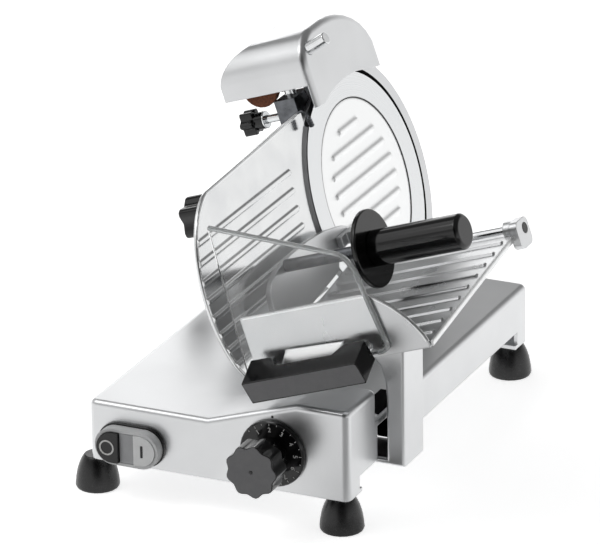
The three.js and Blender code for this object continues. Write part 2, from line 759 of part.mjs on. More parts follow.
function vents() {
  const pitch = (HOUSING_NEAR + HOUSING_FAR) / (VENT_COUNT + 2);
  const slots = [];
  for (let i = 0; i < VENT_COUNT; i += 1) {
    const y = MOTOR_Y + (i - (VENT_COUNT - 1) / 2) * pitch;
    const top = -MOTOR_DROP / 2;
    slots.push(
      box(
        HOUSING_BACK - OVERSHOOT,
        HOUSING_BACK + HOUSING_WALL + OVERSHOOT,
        y - VENT_WIDTH / 2,
        y + VENT_WIDTH / 2,
        top - VENT_LENGTH,
        top,
      ),
    );
  }
  return slots;
}

function housing() {
  const depth = BLADE_Z;
  const outline = roundedRect(-HOUSING_NEAR, HOUSING_FAR, -depth, HOUSING_TOP, HOUSING_ROUND);
  const hollow = roundedRect(
    -HOUSING_NEAR + HOUSING_WALL,
    HOUSING_FAR - HOUSING_WALL,
    -depth - OVERSHOOT,
    HOUSING_TOP - HOUSING_WALL,
    HOUSING_ROUND - HOUSING_WALL,
  );
  const ringInner = BLADE_RADIUS + RING_GAP;
  const body = join(
    prism(outline, 'yz', HOUSING_BACK, HOUSING_FACE),
    rod('x', BACK_PLATE_RADIUS, PLATE_BACK, PLATE_FACE, 40),
    ringSector(ringInner, RING_OUTER, PLATE_BACK, -OVERSHOOT),
    ringSector(BACK_PLATE_RADIUS - BACK_PLATE, RING_OUTER, PLATE_BACK, PLATE_FACE),
  );
  return cut(
    body,
    prism(hollow, 'yz', HOUSING_BACK + HOUSING_WALL, FRONT_WALL_BACK),
    rod('x', HUB_RADIUS + FIT + BEARING_RING + FIT, FRONT_WALL_BACK - OVERSHOOT, PLATE_FACE, 24),
    rod('x', HUB_FLANGE_RADIUS + RUNNING_GAP, HOUSING_FACE, PLATE_FACE + OVERSHOOT),
    rod('x', TIE_ROD_RADIUS + FIT, HOUSING_BACK - OVERSHOOT, HOUSING_BACK + HOUSING_WALL + OVERSHOOT),
    belowDeck(),
    ...vents(),
  );
}

// Corners of a polygon that stands round the given circle
function circlePoints(radius, y, z, x) {
  const points = [];
  const steps = 24;
  const reach = radius / Math.cos(Math.PI / steps);
  for (let i = 0; i < steps; i += 1) {
    const angle = (2 * Math.PI * i) / steps;
    points.push(new THREE.Vector3(x, y + reach * Math.cos(angle), z + reach * Math.sin(angle)));
  }
  return points;
}

function beltHull(grow, from, to) {
  const points = [];
  for (const x of [from, to]) {
    points.push(...circlePoints(BLADE_PULLEY_RADIUS + grow, 0, 0, x));
    points.push(...circlePoints(MOTOR_PULLEY_RADIUS + grow, MOTOR_Y, -MOTOR_DROP, x));
  }
  return new ConvexGeometry(points);
}

function addDrive() {
  add(tilted, 'motor_housing', housing(), 'satinAluminium');
  const hubFront = BLADE_BACK - FIT;
  const hub = turned(
    [
      [HUB_BORE, hubFront],
      [HUB_FLANGE_RADIUS, hubFront],
      [HUB_FLANGE_RADIUS, HOUSING_FACE + FIT],
      [HUB_RADIUS, HOUSING_FACE + FIT],
      [HUB_RADIUS, PULLEY_BACK],
      [HUB_BORE, PULLEY_BACK],
      [HUB_BORE, hubFront],
    ],
    'x',
  );
  add(tilted, 'blade_hub', hub, 'darkSteel');
  const race = HUB_RADIUS + FIT;
  const bearing = tube('x', race + BEARING_RING, race, FRONT_WALL_BACK, HOUSING_FACE - FIT);
  add(tilted, 'hub_bearing', bearing, 'chrome');
  const pulley = tube('x', BLADE_PULLEY_RADIUS, HUB_RADIUS + FIT, PULLEY_BACK, PULLEY_FACE);
  add(tilted, 'blade_pulley', pulley, 'darkSteel');
  const motorFace = MOTOR_PLATE_BACK - FIT;
  const place = (piece) => piece.translate(0, MOTOR_Y, -MOTOR_DROP);
  const motorPulley = join(
    rod('x', MOTOR_PULLEY_RADIUS, PULLEY_BACK, PULLEY_FACE),
    rod('x', MOTOR_SHAFT_RADIUS, motorFace + FIT, PULLEY_BACK + OVERSHOOT),
  );
  add(tilted, 'motor_pulley', place(motorPulley), 'darkSteel');
  add(tilted, 'motor', place(rod('x', MOTOR_RADIUS, motorFace - MOTOR_LENGTH, motorFace)), 'motorSteel');
  const plate = cut(
    box(
      MOTOR_PLATE_BACK,
      MOTOR_PLATE_FACE,
      -HOUSING_NEAR + HOUSING_WALL + FIT,
      HOUSING_FAR - HOUSING_WALL - FIT,
      -MOTOR_DROP - MOTOR_RADIUS,
      HOUSING_TOP - HOUSING_ROUND,
    ),
    place(rod('x', MOTOR_SHAFT_RADIUS + FIT, MOTOR_PLATE_BACK - OVERSHOOT, MOTOR_PLATE_FACE + OVERSHOOT)),
    rod('x', TIE_ROD_RADIUS + FIT, MOTOR_PLATE_BACK - OVERSHOOT, MOTOR_PLATE_FACE + OVERSHOOT),
  );
  add(tilted, 'motor_plate', plate, 'darkSteel');
  const edge = OVERSHOOT;
  const belt = cut(
    beltHull(FIT + BELT_THICKNESS, PULLEY_BACK + edge, PULLEY_FACE - edge),
    beltHull(FIT, PULLEY_BACK, PULLEY_FACE),
  );
  add(tilted, 'drive_belt', belt, 'rubber');
}

// Blade, its cover and the knob that holds the cover

function coverRibs() {
  const ribs = [];
  const reach = COVER_RADIUS - 1.3 * RIB_PITCH;
  for (let i = 0; i < 7; i += 1) {
    const z = (i - 3) * RIB_PITCH + RIB_PITCH / 2;
    const half = Math.sqrt(reach * reach - z * z);
    if (!(half > RIB_PITCH)) continue;
    const across = rib(RIB_WIDTH, RIB_HEIGHT, 'xz', -half, half).rotateY(Math.PI / 2);
    ribs.push(across.translate(COVER_FACE, 0, z));
  }
  return ribs;
}

function addBlade() {
  const seat = COVER_RADIUS + FIT;
  const blade = turned(
    [
      [BLADE_BORE, BLADE_BACK],
      [BLADE_RADIUS - BLADE_BEVEL, BLADE_BACK],
      [BLADE_RADIUS, -0.2],
      [BLADE_RADIUS, 0],
      [seat, 0],
      [seat, BLADE_RECESS],
      [BLADE_BORE, BLADE_RECESS],
      [BLADE_BORE, BLADE_BACK],
    ],
    'x',
    64,
  );
  add(tilted, 'blade', blade, 'bladeSteel');
  const cover = join(rod('x', COVER_RADIUS, COVER_BACK, COVER_FACE, 48), ...coverRibs());
  add(tilted, 'blade_cover', cover, 'polishedAluminium');
  const knobBack = -COVER_KNOB_REACH;
  const knobFront = knobBack + COVER_KNOB_LENGTH;
  add(tilted, 'cover_tie_rod', rod('x', TIE_ROD_RADIUS, knobFront + FIT, COVER_BACK - FIT, 20), 'chrome');
  const star = lobed(COVER_KNOB_RADIUS, COVER_KNOB_LOBES, COVER_KNOB_LOBE_DEPTH);
  const knob = prism(star, 'yz', knobBack, knobFront);
  add(tilted, 'cover_knob', knob, 'blackPlastic');
  const sheetFar = -HOUSING_NEAR - FIT;
  const deflector = box(
    FRONT_WALL_BACK - DEFLECTOR_LENGTH,
    FRONT_WALL_BACK,
    sheetFar - DEFLECTOR_SHEET,
    sheetFar,
    HOUSING_TOP - HOUSING_ROUND - DEFLECTOR_HEIGHT,
    HOUSING_TOP - HOUSING_ROUND,
  );
  add(tilted, 'slice_deflector', deflector, 'polishedAluminium');
}

// Gauge plate

function gaugeOutline() {
  const arc = BLADE_RADIUS + GAUGE_BLADE_GAP;
  const topAngle = Math.PI - Math.acos(GAUGE_FAR / arc);
  const bottomAngle = Math.PI + Math.acos(GAUGE_CORNER / arc);
  const nearTop = GAUGE_NEAR - GAUGE_TOP_ROUND;
  const nearBottom = GAUGE_NEAR - GAUGE_BOTTOM_ROUND;
  const top = GAUGE_TOP - GAUGE_TOP_DROP;
  const shape = new THREE.Shape();
  shape.moveTo(-GAUGE_FAR, GAUGE_TOP);
  shape.lineTo(-nearTop, top);
  shape.bezierCurveTo(
    -nearTop - GAUGE_TOP_ROUND * 0.63,
    top * 0.89,
    -GAUGE_NEAR,
    top * 0.43,
    -GAUGE_NEAR,
    0,
  );
  shape.bezierCurveTo(
    -GAUGE_NEAR,
    -GAUGE_BOTTOM * 0.53,
    -nearBottom - GAUGE_BOTTOM_ROUND * 0.6,
    -GAUGE_BOTTOM,
    -nearBottom,
    -GAUGE_BOTTOM,
  );
  shape.lineTo(-GAUGE_CORNER, -GAUGE_BOTTOM);
  shape.absarc(0, 0, arc, bottomAngle, topAngle, true);
  return shape;
}

// Ribs that start at the plate's near edge and end before the blade
function gaugeRibs() {
  const ribs = [];
  for (let i = 0; i < GAUGE_RIB_COUNT; i += 1) {
    const z = GAUGE_RIB_TOP - i * RIB_PITCH;
    const bend = (z / GAUGE_TOP) ** 2;
    const far = -GAUGE_RIB_FAR - GAUGE_RIB_SETBACK * (1 - bend);
    const across = rib(RIB_WIDTH, RIB_HEIGHT, 'xz', -GAUGE_NEAR, far).rotateY(Math.PI / 2);
    ribs.push(across.translate(GAUGE_FACE, 0, z));
  }
  return common(join(...ribs), prism(gaugeOutline(), 'yz', GAUGE_BACK, -GAUGE_SETTING, GAUGE_CURVE_STEPS));
}

// Guide block, riser and follower bar of the gauge plate, in the level frame
function gaugeSupport() {
  const near = GAUGE_ROD_Y - GAUGE_BLOCK_WIDTH / 2;
  const far = GAUGE_ROD_Y + GAUGE_BLOCK_WIDTH / 2;
  const blockEnd = GAUGE_BLOCK_X + GAUGE_BLOCK_LENGTH;
  const blockTop = GAUGE_ROD_Z + GAUGE_BLOCK_HEIGHT / 2;
  const block = box(GAUGE_BLOCK_X, blockEnd, near, far, GAUGE_ROD_Z - GAUGE_BLOCK_HEIGHT / 2, blockTop);
  const riserEnd = GAUGE_RISER_X + GAUGE_RISER_LENGTH;
  const riser = prism(
    polygon([
      [GAUGE_RISER_X, blockTop - OVERSHOOT],
      [riserEnd, blockTop - OVERSHOOT],
      [riserEnd, DECK_HEIGHT + BASE_WALL],
      [BLADE_X + GAUGE_BOTTOM, GAUGE_RISER_TOP],
      [GAUGE_RISER_X, GAUGE_RISER_TOP],
    ]),
    'xz',
    near,
    far,
  );
  const reach = BASE_LENGTH;
  const plateSide = box(GAUGE_BACK - FIT, reach, -reach, reach, -reach, reach).applyMatrix4(tiltMatrix);
  const followerX = DIAL_X - CAM_RADIUS - FOLLOWER_RADIUS - FIT;
  const barNear = CAM_START + CAM_THICKNESS + RUNNING_GAP;
  const half = FOLLOWER_BAR / 2;
  const barFar = near + OVERSHOOT;
  const bar = box(followerX - half, followerX + half, barNear, barFar, DIAL_Z - half, DIAL_Z + half);
  const pin = rod('y', FOLLOWER_RADIUS, CAM_START, barNear + OVERSHOOT, 20)
    .translate(followerX, 0, DIAL_Z);
  const bore = rod('x', GAUGE_ROD_RADIUS + FIT, GAUGE_BLOCK_X - OVERSHOOT, blockEnd + OVERSHOOT)
    .translate(0, GAUGE_ROD_Y, GAUGE_ROD_Z);
  return cut(join(block, cut(riser, plateSide), bar, pin), bore);
}

function addGauge() {
  const plate = join(prism(gaugeOutline(), 'yz', GAUGE_BACK, GAUGE_FACE, GAUGE_CURVE_STEPS), gaugeRibs());
  add(tilted, 'gauge_plate', plate, 'polishedAluminium');
  add(level, 'gauge_support', gaugeSupport(), 'satinAluminium');
  const guide = rod('x', GAUGE_ROD_RADIUS, GAUGE_ROD_START, GAUGE_ROD_END)
    .translate(0, GAUGE_ROD_Y, GAUGE_ROD_Z);
  add(level, 'gauge_rod', guide, 'chrome');
}

// Thickness knob: the spiral cam pushes the gauge plate's follower as the knob turns

function camOutline() {
  const points = [];
  const rising = 360 - CAM_FALL_DEGREES;
  const lowest = CAM_RADIUS - CAM_RISE_PER_DEGREE * CAM_LEAD_IN_DEGREES;
  const highest = lowest + CAM_RISE_PER_DEGREE * rising;
  const step = 7.5;
  for (let turn = 0; turn < 360; turn += step) {
    const fall = Math.max(0, turn - rising) / CAM_FALL_DEGREES;
    const climb = lowest + CAM_RISE_PER_DEGREE * Math.min(turn, rising);
    const r = climb - fall * (highest - lowest);
    const angle = THREE.MathUtils.degToRad(180 + CAM_LEAD_IN_DEGREES - turn);
    points.push([r * Math.cos(angle), r * Math.sin(angle)]);
  }
  return polygon(points.reverse());
}

function addThicknessKnob() {
  const place = (piece) => piece.translate(DIAL_X, 0, DIAL_Z);
  const dialBack = -FIT - FIT;
  const dialFront = dialBack - DIAL_THICKNESS;
  const knobBack = dialFront - FIT;
  const socketEnd = knobBack - SPINDLE_SOCKET;
  const spindle = join(
    rod('y', SPINDLE_RADIUS, socketEnd + FIT, CAM_START + CAM_THICKNESS + FIT, 24),
    prism(camOutline(), 'xz', CAM_START, CAM_START + CAM_THICKNESS),
  );
  add(level, 'knob_spindle', place(spindle), 'darkSteel');
  const dial = turned(
    [
      [SPINDLE_RADIUS + FIT, dialFront],
      [DIAL_RADIUS - DIAL_CHAMFER, dialFront],
      [DIAL_RADIUS, dialFront + DIAL_CHAMFER],
      [DIAL_RADIUS, dialBack],
      [SPINDLE_RADIUS + FIT, dialBack],
      [SPINDLE_RADIUS + FIT, dialFront],
    ],
    'y',
    36,
  );
  add(level, 'thickness_dial', place(dial), 'blackPlastic');
  const headBack = KNOB_HEAD - KNOB_REACH;
  const neck = turned(
    [
      [0, headBack - OVERSHOOT],
      [KNOB_RADIUS - KNOB_LOBE_DEPTH, headBack - OVERSHOOT],
      [KNOB_RADIUS - KNOB_LOBE_DEPTH, headBack],
      [KNOB_NECK_RADIUS, knobBack],
      [0, knobBack],
    ],
    'y',
    36,
  );
  const knob = cut(
    join(prism(lobed(KNOB_RADIUS, KNOB_LOBES, KNOB_LOBE_DEPTH), 'xz', -KNOB_REACH, headBack), neck),
    rod('y', SPINDLE_RADIUS + FIT, socketEnd, knobBack + OVERSHOOT, 24),
  );
  add(level, 'thickness_knob', place(knob), 'blackPlastic');
}

// Carriage

function trayFloorFrame(geometry) {
  return geometry
    .rotateX(THREE.MathUtils.degToRad(TRAY_RISE_DEGREES))
    .translate(0, -TRAY_NEAR, -TRAY_BOTTOM);
}

function trayFloor() {
  const start = TRAY_START + TRAY_RIB_MARGIN;
  const end = TRAY_END - TRAY_RIB_MARGIN;
  const ribs = [];
  for (let i = 1; i <= TRAY_RIB_COUNT; i += 1) {
    const along = rib(RIB_WIDTH, RIB_HEIGHT, 'yz', start, end);
    ribs.push(along.translate(0, i * TRAY_RIB_PITCH, 0));
  }
  const sheet = box(TRAY_START, TRAY_END, -TRAY_SHEET, TRAY_DEPTH, -TRAY_SHEET, 0);
  return trayFloorFrame(join(sheet, ...ribs));
}

function nearWall() {
  const top = -TRAY_BOTTOM + NEAR_WALL_HEIGHT;
  const bottom = -TRAY_BOTTOM - TRAY_SHEET;
  const roundStart = TRAY_END - NEAR_WALL_ROUND;
  const shape = new THREE.Shape();
  shape.moveTo(TRAY_START, bottom);
  shape.lineTo(TRAY_END, bottom);
  shape.lineTo(TRAY_END, -TRAY_BOTTOM);
  shape.bezierCurveTo(
    TRAY_END - NEAR_WALL_ROUND * 0.12,
    top - NEAR_WALL_HEIGHT * 0.62,
    roundStart + NEAR_WALL_ROUND * 0.41,
    top - NEAR_WALL_HEIGHT * 0.16,
    roundStart,
    top,
  );
  shape.lineTo(TRAY_START, top);
  return prism(shape, 'xz', WALL_FRONT, -TRAY_NEAR, 8);
}

function guardOutline() {
  const bottom = -TRAY_BOTTOM;
  const right = GUARD_START + GUARD_WIDTH;
  const shoulderTop = GUARD_TOP - GUARD_TOP_DROP;
  const shape = new THREE.Shape();
  shape.moveTo(GUARD_START - GUARD_LEAN / 2, bottom);
  shape.lineTo(right - GUARD_CORNER, bottom);
  shape.quadraticCurveTo(right + GUARD_SPREAD, bottom, right + GUARD_SPREAD, bottom + GUARD_CORNER);
  shape.lineTo(right - GUARD_SPREAD / 2, shoulderTop - 1.3 * GUARD_SHOULDER);
  shape.quadraticCurveTo(
    right - GUARD_SPREAD,
    shoulderTop - GUARD_SHOULDER / 2,
    right - GUARD_SHOULDER,
    shoulderTop,
  );
  shape.lineTo(GUARD_START + GUARD_LEAN, GUARD_TOP);
  return shape;
}

// Bolts of the handle, each along y through the guard and the tray's near wall
function atBolts(make) {
  const height = -TRAY_BOTTOM - HANDLE_DROP + HANDLE_HEIGHT / 2 + HANDLE_RISE;
  const lean = (HANDLE_LEAN * HANDLE_HEIGHT) / 2;
  const first = HANDLE_START + HANDLE_ARM / 2 - lean;
  const second = HANDLE_START + HANDLE_WIDTH - HANDLE_ARM / 2 - lean;
  return [first, second].map((x) => make().translate(x, 0, height));
}

function boltHoles() {
  return atBolts(() => rod('y', BOLT_RADIUS + FIT, GUARD_FRONT - OVERSHOOT, -TRAY_NEAR + OVERSHOOT));
}

function handle() {
  const back = GUARD_FRONT - HANDLE_STUD;
  const front = GUARD_FRONT - HANDLE_REACH;
  const end = HANDLE_START + HANDLE_WIDTH;
  const bottom = -TRAY_BOTTOM - HANDLE_DROP;
  const left = HANDLE_START + HANDLE_ARM;
  const right = end - HANDLE_ARM;
  const barBack = front + HANDLE_BAR;
  const plan = polygon([
    [HANDLE_START, front],
    [end, front],
    [end, back],
    [right, back],
    [right - HANDLE_FILLET, barBack],
    [left + HANDLE_FILLET, barBack],
    [left, back],
    [HANDLE_START, back],
  ]);
  const side = polygon([
    [front, 0],
    [back, HANDLE_RISE],
    [back, HANDLE_RISE + HANDLE_HEIGHT],
    [front, HANDLE_HEIGHT],
  ]);
  const blank = common(prism(plan, 'xy', 0, BASE_LENGTH), prism(side, 'yz', 0, BASE_LENGTH));
  const turn = (HANDLE_LEAN * HANDLE_RISE) / (back - front);
  const lean = new THREE.Matrix4().makeShear(0, 0, turn, 0, -HANDLE_LEAN, 0);
  return blank.applyMatrix4(lean).translate(-turn * front, 0, bottom);
}

// Casting that carries the tray: an arm under the base wall, a post outside it and a flare to the tray
function carriageArm() {
  const inner = SLIDE_ROD_X - SLIDER_WIDTH / 2;
  const postIn = BASE_WIDTH + POST_WALL_GAP;
  const postOut = postIn + POST_THICKNESS;
  const top = SLIDE_ROD_Z - SLIDER_HEIGHT / 2 - FIT - FIT;
  const bottom = top - ARM_THICKNESS;
  const above = BLADE_Z + TRAY_BOTTOM;
  const flareIn = postIn - POST_FLARE_REACH;
  const shape = new THREE.Shape();
  shape.moveTo(inner, bottom);
  shape.lineTo(postOut, bottom);
  shape.lineTo(postOut, above);
  shape.lineTo(flareIn, above);
  shape.lineTo(flareIn, POST_FLARE_TOP);
  shape.quadraticCurveTo(postIn, POST_FLARE_TOP - BASE_WALL, postIn, POST_FLARE_BOTTOM);
  shape.lineTo(postIn, top);
  shape.lineTo(inner, top);
  const blank = softPrism(shape, 'xz', ARM_NEAR, ARM_NEAR + ARM_WIDTH, ARM_EDGE_ROUND);
  const reach = BASE_LENGTH;
  const overTray = trayFloorFrame(box(-reach, reach, -reach, reach, -TRAY_SHEET - FIT, reach));
  return cut(blank, overTray.applyMatrix4(tiltMatrix));
}

function addCarriage() {
  const slideRod = rod('y', SLIDE_ROD_RADIUS, SLIDE_ROD_START, BASE_LENGTH - BASE_WALL - FIT)
    .translate(SLIDE_ROD_X, 0, SLIDE_ROD_Z);
  add(level, 'carriage_rod', slideRod, 'chrome');
  const middle = ARM_NEAR + ARM_WIDTH / 2;
  const near = middle - SLIDER_LENGTH / 2;
  const far = middle + SLIDER_LENGTH / 2;
  const block = box(
    SLIDE_ROD_X - SLIDER_WIDTH / 2,
    SLIDE_ROD_X + SLIDER_WIDTH / 2,
    near,
    far,
    SLIDE_ROD_Z - SLIDER_HEIGHT / 2 - FIT,
    SLIDE_ROD_Z + SLIDER_HEIGHT / 2,
  );
  const bore = rod('y', SLIDE_ROD_RADIUS + FIT, near - OVERSHOOT, far + OVERSHOOT)
    .translate(SLIDE_ROD_X, 0, SLIDE_ROD_Z);
  add(level, 'slider_block', cut(block, bore), 'satinAluminium');
  add(level, 'carriage_arm', carriageArm(), 'satinAluminium');
  const bolts = atBolts(() =>
    join(
      rod('y', BOLT_RADIUS, GUARD_FRONT - HANDLE_STUD + FIT, -TRAY_NEAR + FIT + OVERSHOOT),
      rod('y', BOLT_HEAD_RADIUS, -TRAY_NEAR + FIT, -TRAY_NEAR + FIT + BOLT_HEAD),
    ),
  );
  bolts.forEach((bolt, i) => add(tilted, `handle_bolt_${i + 1}`, bolt, 'chrome'));
  add(tilted, 'tray', cut(join(trayFloor(), nearWall()), ...boltHoles()), 'polishedAluminium');
  const guard = prism(guardOutline(), 'xz', GUARD_FRONT, GUARD_BACK);
  add(tilted, 'clear_guard', cut(guard, ...boltHoles()), 'clearPlastic');
  add(tilted, 'handle', handle(), 'blackPlastic');
}

// Pusher

function onPusherRod(geometry) {
  return geometry.translate(0, -PUSHER_ROD_FAR, -PUSHER_ROD_DROP);
}

function addPusherRod() {
  const bossStart = TRAY_END + FIT;
  const bossEnd = bossStart + BOSS_THICKNESS;
  const clear = PUSHER_ROD_RADIUS + FIT;
  const outline = roundedRect(-BOSS_NEAR, BOSS_FAR, -BOSS_BOTTOM, BOSS_TOP, BOSS_ROUND);
  const right = cut(
    join(
      prism(outline, 'yz', bossStart, bossEnd),
      rod('x', COLLAR_RADIUS, bossStart - COLLAR_LENGTH, bossStart + OVERSHOOT),
    ),
    rod('x', clear, bossStart - COLLAR_LENGTH - OVERSHOOT, bossEnd + OVERSHOOT),
  );
  add(tilted, 'rod_boss_right', onPusherRod(right), 'satinAluminium');
  const rise = THREE.MathUtils.degToRad(TRAY_RISE_DEGREES);
  const trayFar = TRAY_DEPTH * Math.cos(rise) + TRAY_SHEET * Math.sin(rise) - TRAY_NEAR;
  const left = cut(
    box(
      TRAY_START + FIT,
      TRAY_START + LEFT_BOSS,
      trayFar + FIT + PUSHER_ROD_FAR,
      LEFT_BOSS_FAR,
      -LEFT_BOSS_BOTTOM,
      LEFT_BOSS_TOP,
    ),
    rod('x', clear, 0, TRAY_START + LEFT_BOSS + OVERSHOOT),
  );
  add(tilted, 'rod_boss_left', onPusherRod(left), 'satinAluminium');
  const slide = rod('x', PUSHER_ROD_RADIUS, TRAY_START + FIT, bossEnd - FIT, 24);
  add(tilted, 'pusher_rod', onPusherRod(slide), 'chrome');
}

// Hinge of the pusher: an eye on the rod, and a bar from it over the rod's boss to the plate
function pusherArm() {
  const start = PUSHER_PLATE_START + PUSHER_PLATE + FIT;
  const eyeEnd = EYE_START + EYE_LENGTH;
  const half = SLEEVE_RADIUS * 0.9;
  const barTop = PUSHER_BAR_RISE + PUSHER_BAR;
  const arm = join(
    rod('x', SLEEVE_RADIUS, EYE_START, eyeEnd),
    box(EYE_START, eyeEnd, -half, half, 0, barTop),
    box(start, eyeEnd, -half, half, PUSHER_BAR_RISE, barTop),
    box(start, start + PUSHER_ARM, -PUSHER_PAD, PUSHER_PAD / 2, PUSHER_BAR_RISE, barTop),
  );
  return onPusherRod(cut(arm, rod('x', PUSHER_ROD_RADIUS + FIT, 0, eyeEnd + OVERSHOOT, 24)));
}

// Broad rounded plate that lies over the tray's floor and round the rod's boss
function pusherPlate() {
  const slope = Math.tan(THREE.MathUtils.degToRad(TRAY_RISE_DEGREES));
  const floorAt = (y) => -TRAY_BOTTOM + (y + TRAY_NEAR) * slope + PUSHER_PLATE_GAP;
  const near = -PUSHER_PLATE_NEAR;
  const rodY = -PUSHER_ROD_FAR;
  const rodZ = -PUSHER_ROD_DROP;
  const far = rodY - PUSHER_CLEAR * 1.5;
  const end = rodY + PUSHER_PLATE_LOBE;
  const shape = new THREE.Shape();
  shape.moveTo(near, floorAt(near));
  shape.lineTo(far, floorAt(far));
  shape.lineTo(rodY - PUSHER_CLEAR, rodZ + PUSHER_CLEAR * 0.6);
  shape.quadraticCurveTo(rodY, rodZ + PUSHER_CLEAR * 1.15, rodY + PUSHER_CLEAR, rodZ + PUSHER_CLEAR * 0.45);
  shape.quadraticCurveTo(end + PUSHER_CLEAR * 0.2, rodZ + PUSHER_CLEAR * 0.9, end, -PUSHER_CLEAR);
  const flat = near + PUSHER_PLATE_ROUND;
  const crown = PUSHER_PLATE_CROWN;
  shape.bezierCurveTo(
    rodY - PUSHER_CLEAR / 2,
    crown / 3,
    flat + 2 * PUSHER_CLEAR,
    crown * 0.7,
    flat,
    -crown / 2,
  );
  shape.bezierCurveTo(flat - 3 * crown, -crown, near, -2.5 * crown, near, -5 * crown);
  const teeth = [];
  const rowPitch = -floorAt(far) / (TOOTH_ROWS + 1);
  for (let column = 1; column <= TOOTH_COLUMNS; column += 1) {
    for (let row = 1; row <= TOOTH_ROWS; row += 1) {
      const y = near + (column * (far - near)) / (TOOTH_COLUMNS + 1);
      const half = TOOTH_WIDTH / 2;
      const tooth = turned([[0, -TOOTH_HEIGHT], [half, 0], [half, OVERSHOOT], [0, OVERSHOOT]], 'x', 4);
      teeth.push(tooth.translate(PUSHER_PLATE_START, y, -row * rowPitch));
    }
  }
  return join(prism(shape, 'yz', PUSHER_PLATE_START, PUSHER_PLATE_START + PUSHER_PLATE), ...teeth);
}

function addPusher() {
  add(tilted, 'pusher_arm', pusherArm(), 'satinAluminium');
  const sleeveStart = EYE_START + EYE_LENGTH + FIT;
  const sleeveEnd = sleeveStart + SLEEVE_LENGTH;
  const sleeve = tube('x', SLEEVE_RADIUS, PUSHER_ROD_RADIUS + FIT, sleeveStart, sleeveEnd);
  add(tilted, 'pusher_sleeve', onPusherRod(sleeve), 'satinAluminium');
  add(tilted, 'pusher_plate', pusherPlate(), 'satinAluminium');
  const place = (piece) => piece.translate(0, -GRIP_AXIS_NEAR, -GRIP_AXIS_DROP);
  const shaftStart = PUSHER_PLATE_START + PUSHER_PLATE + FIT;
  const shaft = place(rod('x', PUSHER_SHAFT_RADIUS, shaftStart, DISC_START, 24));
  add(tilted, 'pusher_shaft', shaft, 'darkSteel');
  add(tilted, 'pusher_disc', place(rod('x', DISC_RADIUS, DISC_START + FIT, DISC_END, 36)), 'blackPlastic');
  const gripStart = DISC_END + FIT;
  const gripEnd = gripStart + GRIP_LENGTH;
  const round = GRIP_RADIUS / 6;
  const grip = turned(
    [
      [0, gripStart],
      [GRIP_RADIUS, gripStart],
      [GRIP_RADIUS, gripEnd - round],
      [GRIP_RADIUS - round, gripEnd],
      [0, gripEnd],
    ],
    'x',
    28,
  );
  add(tilted, 'pusher_grip', place(grip), 'blackPlastic');
}

// Sharpener

function hoodSection(inset) {
  const near = -HOOD_NEAR + inset;
  const far = HOOD_FAR - inset;
  const top = HOOD_TOP - inset;
  const bottom = SKIRT_FAR_BOTTOM - 2 * HOOD_EDGE_ROUND - inset;
  const radius = HOOD_NEAR_ROUND - inset;
  const flatEnd = HOOD_FAR - HOOD_FAR_ROUND;
  const drop = HOOD_TOP - HOOD_BOTTOM;
  const shape = new THREE.Shape();
  shape.moveTo(near, bottom);
  shape.lineTo(near, top - radius);
  shape.absarc(near + radius, top - radius, radius, Math.PI, Math.PI / 2, true);
  shape.lineTo(flatEnd, top);
  shape.bezierCurveTo(
    flatEnd + HOOD_FAR_ROUND * 0.5,
    top - drop * 0.04,
    far - HOOD_FAR_ROUND * 0.1,
    top - drop * 0.42,
    far,
    HOOD_BOTTOM - inset,
  );
  shape.lineTo(far, bottom);
  return shape;
}

function hoodSide(inset) {
  const back = -HOOD_BACK + inset;
  const top = HOOD_TOP - inset;
  const shape = new THREE.Shape();
  shape.moveTo(HOOD_FRONT + OVERSHOOT, 0);
  shape.lineTo(HOOD_FRONT + OVERSHOOT, top);
  shape.lineTo(back + HOOD_BACK_ROUND, top);
  shape.bezierCurveTo(
    back + HOOD_BACK_ROUND * 0.45,
    top - HOOD_BACK_RISE * 0.12,
    back + HOOD_BACK_ROUND * 0.1,
    top - HOOD_BACK_RISE * 0.44,
    back,
    top - HOOD_BACK_RISE,
  );
  shape.lineTo(back, 0);
  return shape;
}

function hoodVolume(inset) {
  const round = HOOD_EDGE_ROUND - inset;
  return common(
    softPrism(hoodSection(inset), 'yz', -HOOD_BACK - 2 * HOOD_EDGE_ROUND, HOOD_FRONT - inset, round, 7),
    prism(hoodSide(inset), 'xz', -HOOD_NEAR - OVERSHOOT, HOOD_FAR + OVERSHOOT, 7),
  );
}

// Room under the hood: its face on the food side hangs lower and follows the blade's edge
function underHood() {
  const reach = BASE_LENGTH;
  const arcHalf = HOOD_NEAR * 0.73;
  const skirtBack = HOOD_FRONT - SKIRT_DEPTH;
  const shape = new THREE.Shape();
  shape.moveTo(-reach, 0);
  shape.lineTo(-reach, SKIRT_NEAR_BOTTOM);
  shape.lineTo(-arcHalf, SKIRT_NEAR_BOTTOM);
  const crown = SKIRT_NEAR_BOTTOM + SKIRT_ARC_RISE;
  shape.quadraticCurveTo(0, crown, arcHalf, crown - SKIRT_ARC_RISE / 2);
  shape.lineTo(HOOD_FAR, SKIRT_FAR_BOTTOM);
  shape.lineTo(reach, SKIRT_FAR_BOTTOM);
  shape.lineTo(reach, 0);
  return [
    prism(shape, 'yz', skirtBack - OVERSHOOT, HOOD_FRONT + OVERSHOOT),
    box(-reach, skirtBack, -reach, 0, 0, HOOD_BOTTOM),
    box(-reach, HOOD_FRONT - HOOD_WALL, -OVERSHOOT, reach, 0, HOOD_BOTTOM),
  ];
}

function onSharpenerAxis(geometry) {
  return geometry.translate(-SHARPENER_AXIS_BACK, -SHARPENER_AXIS_NEAR, 0);
}

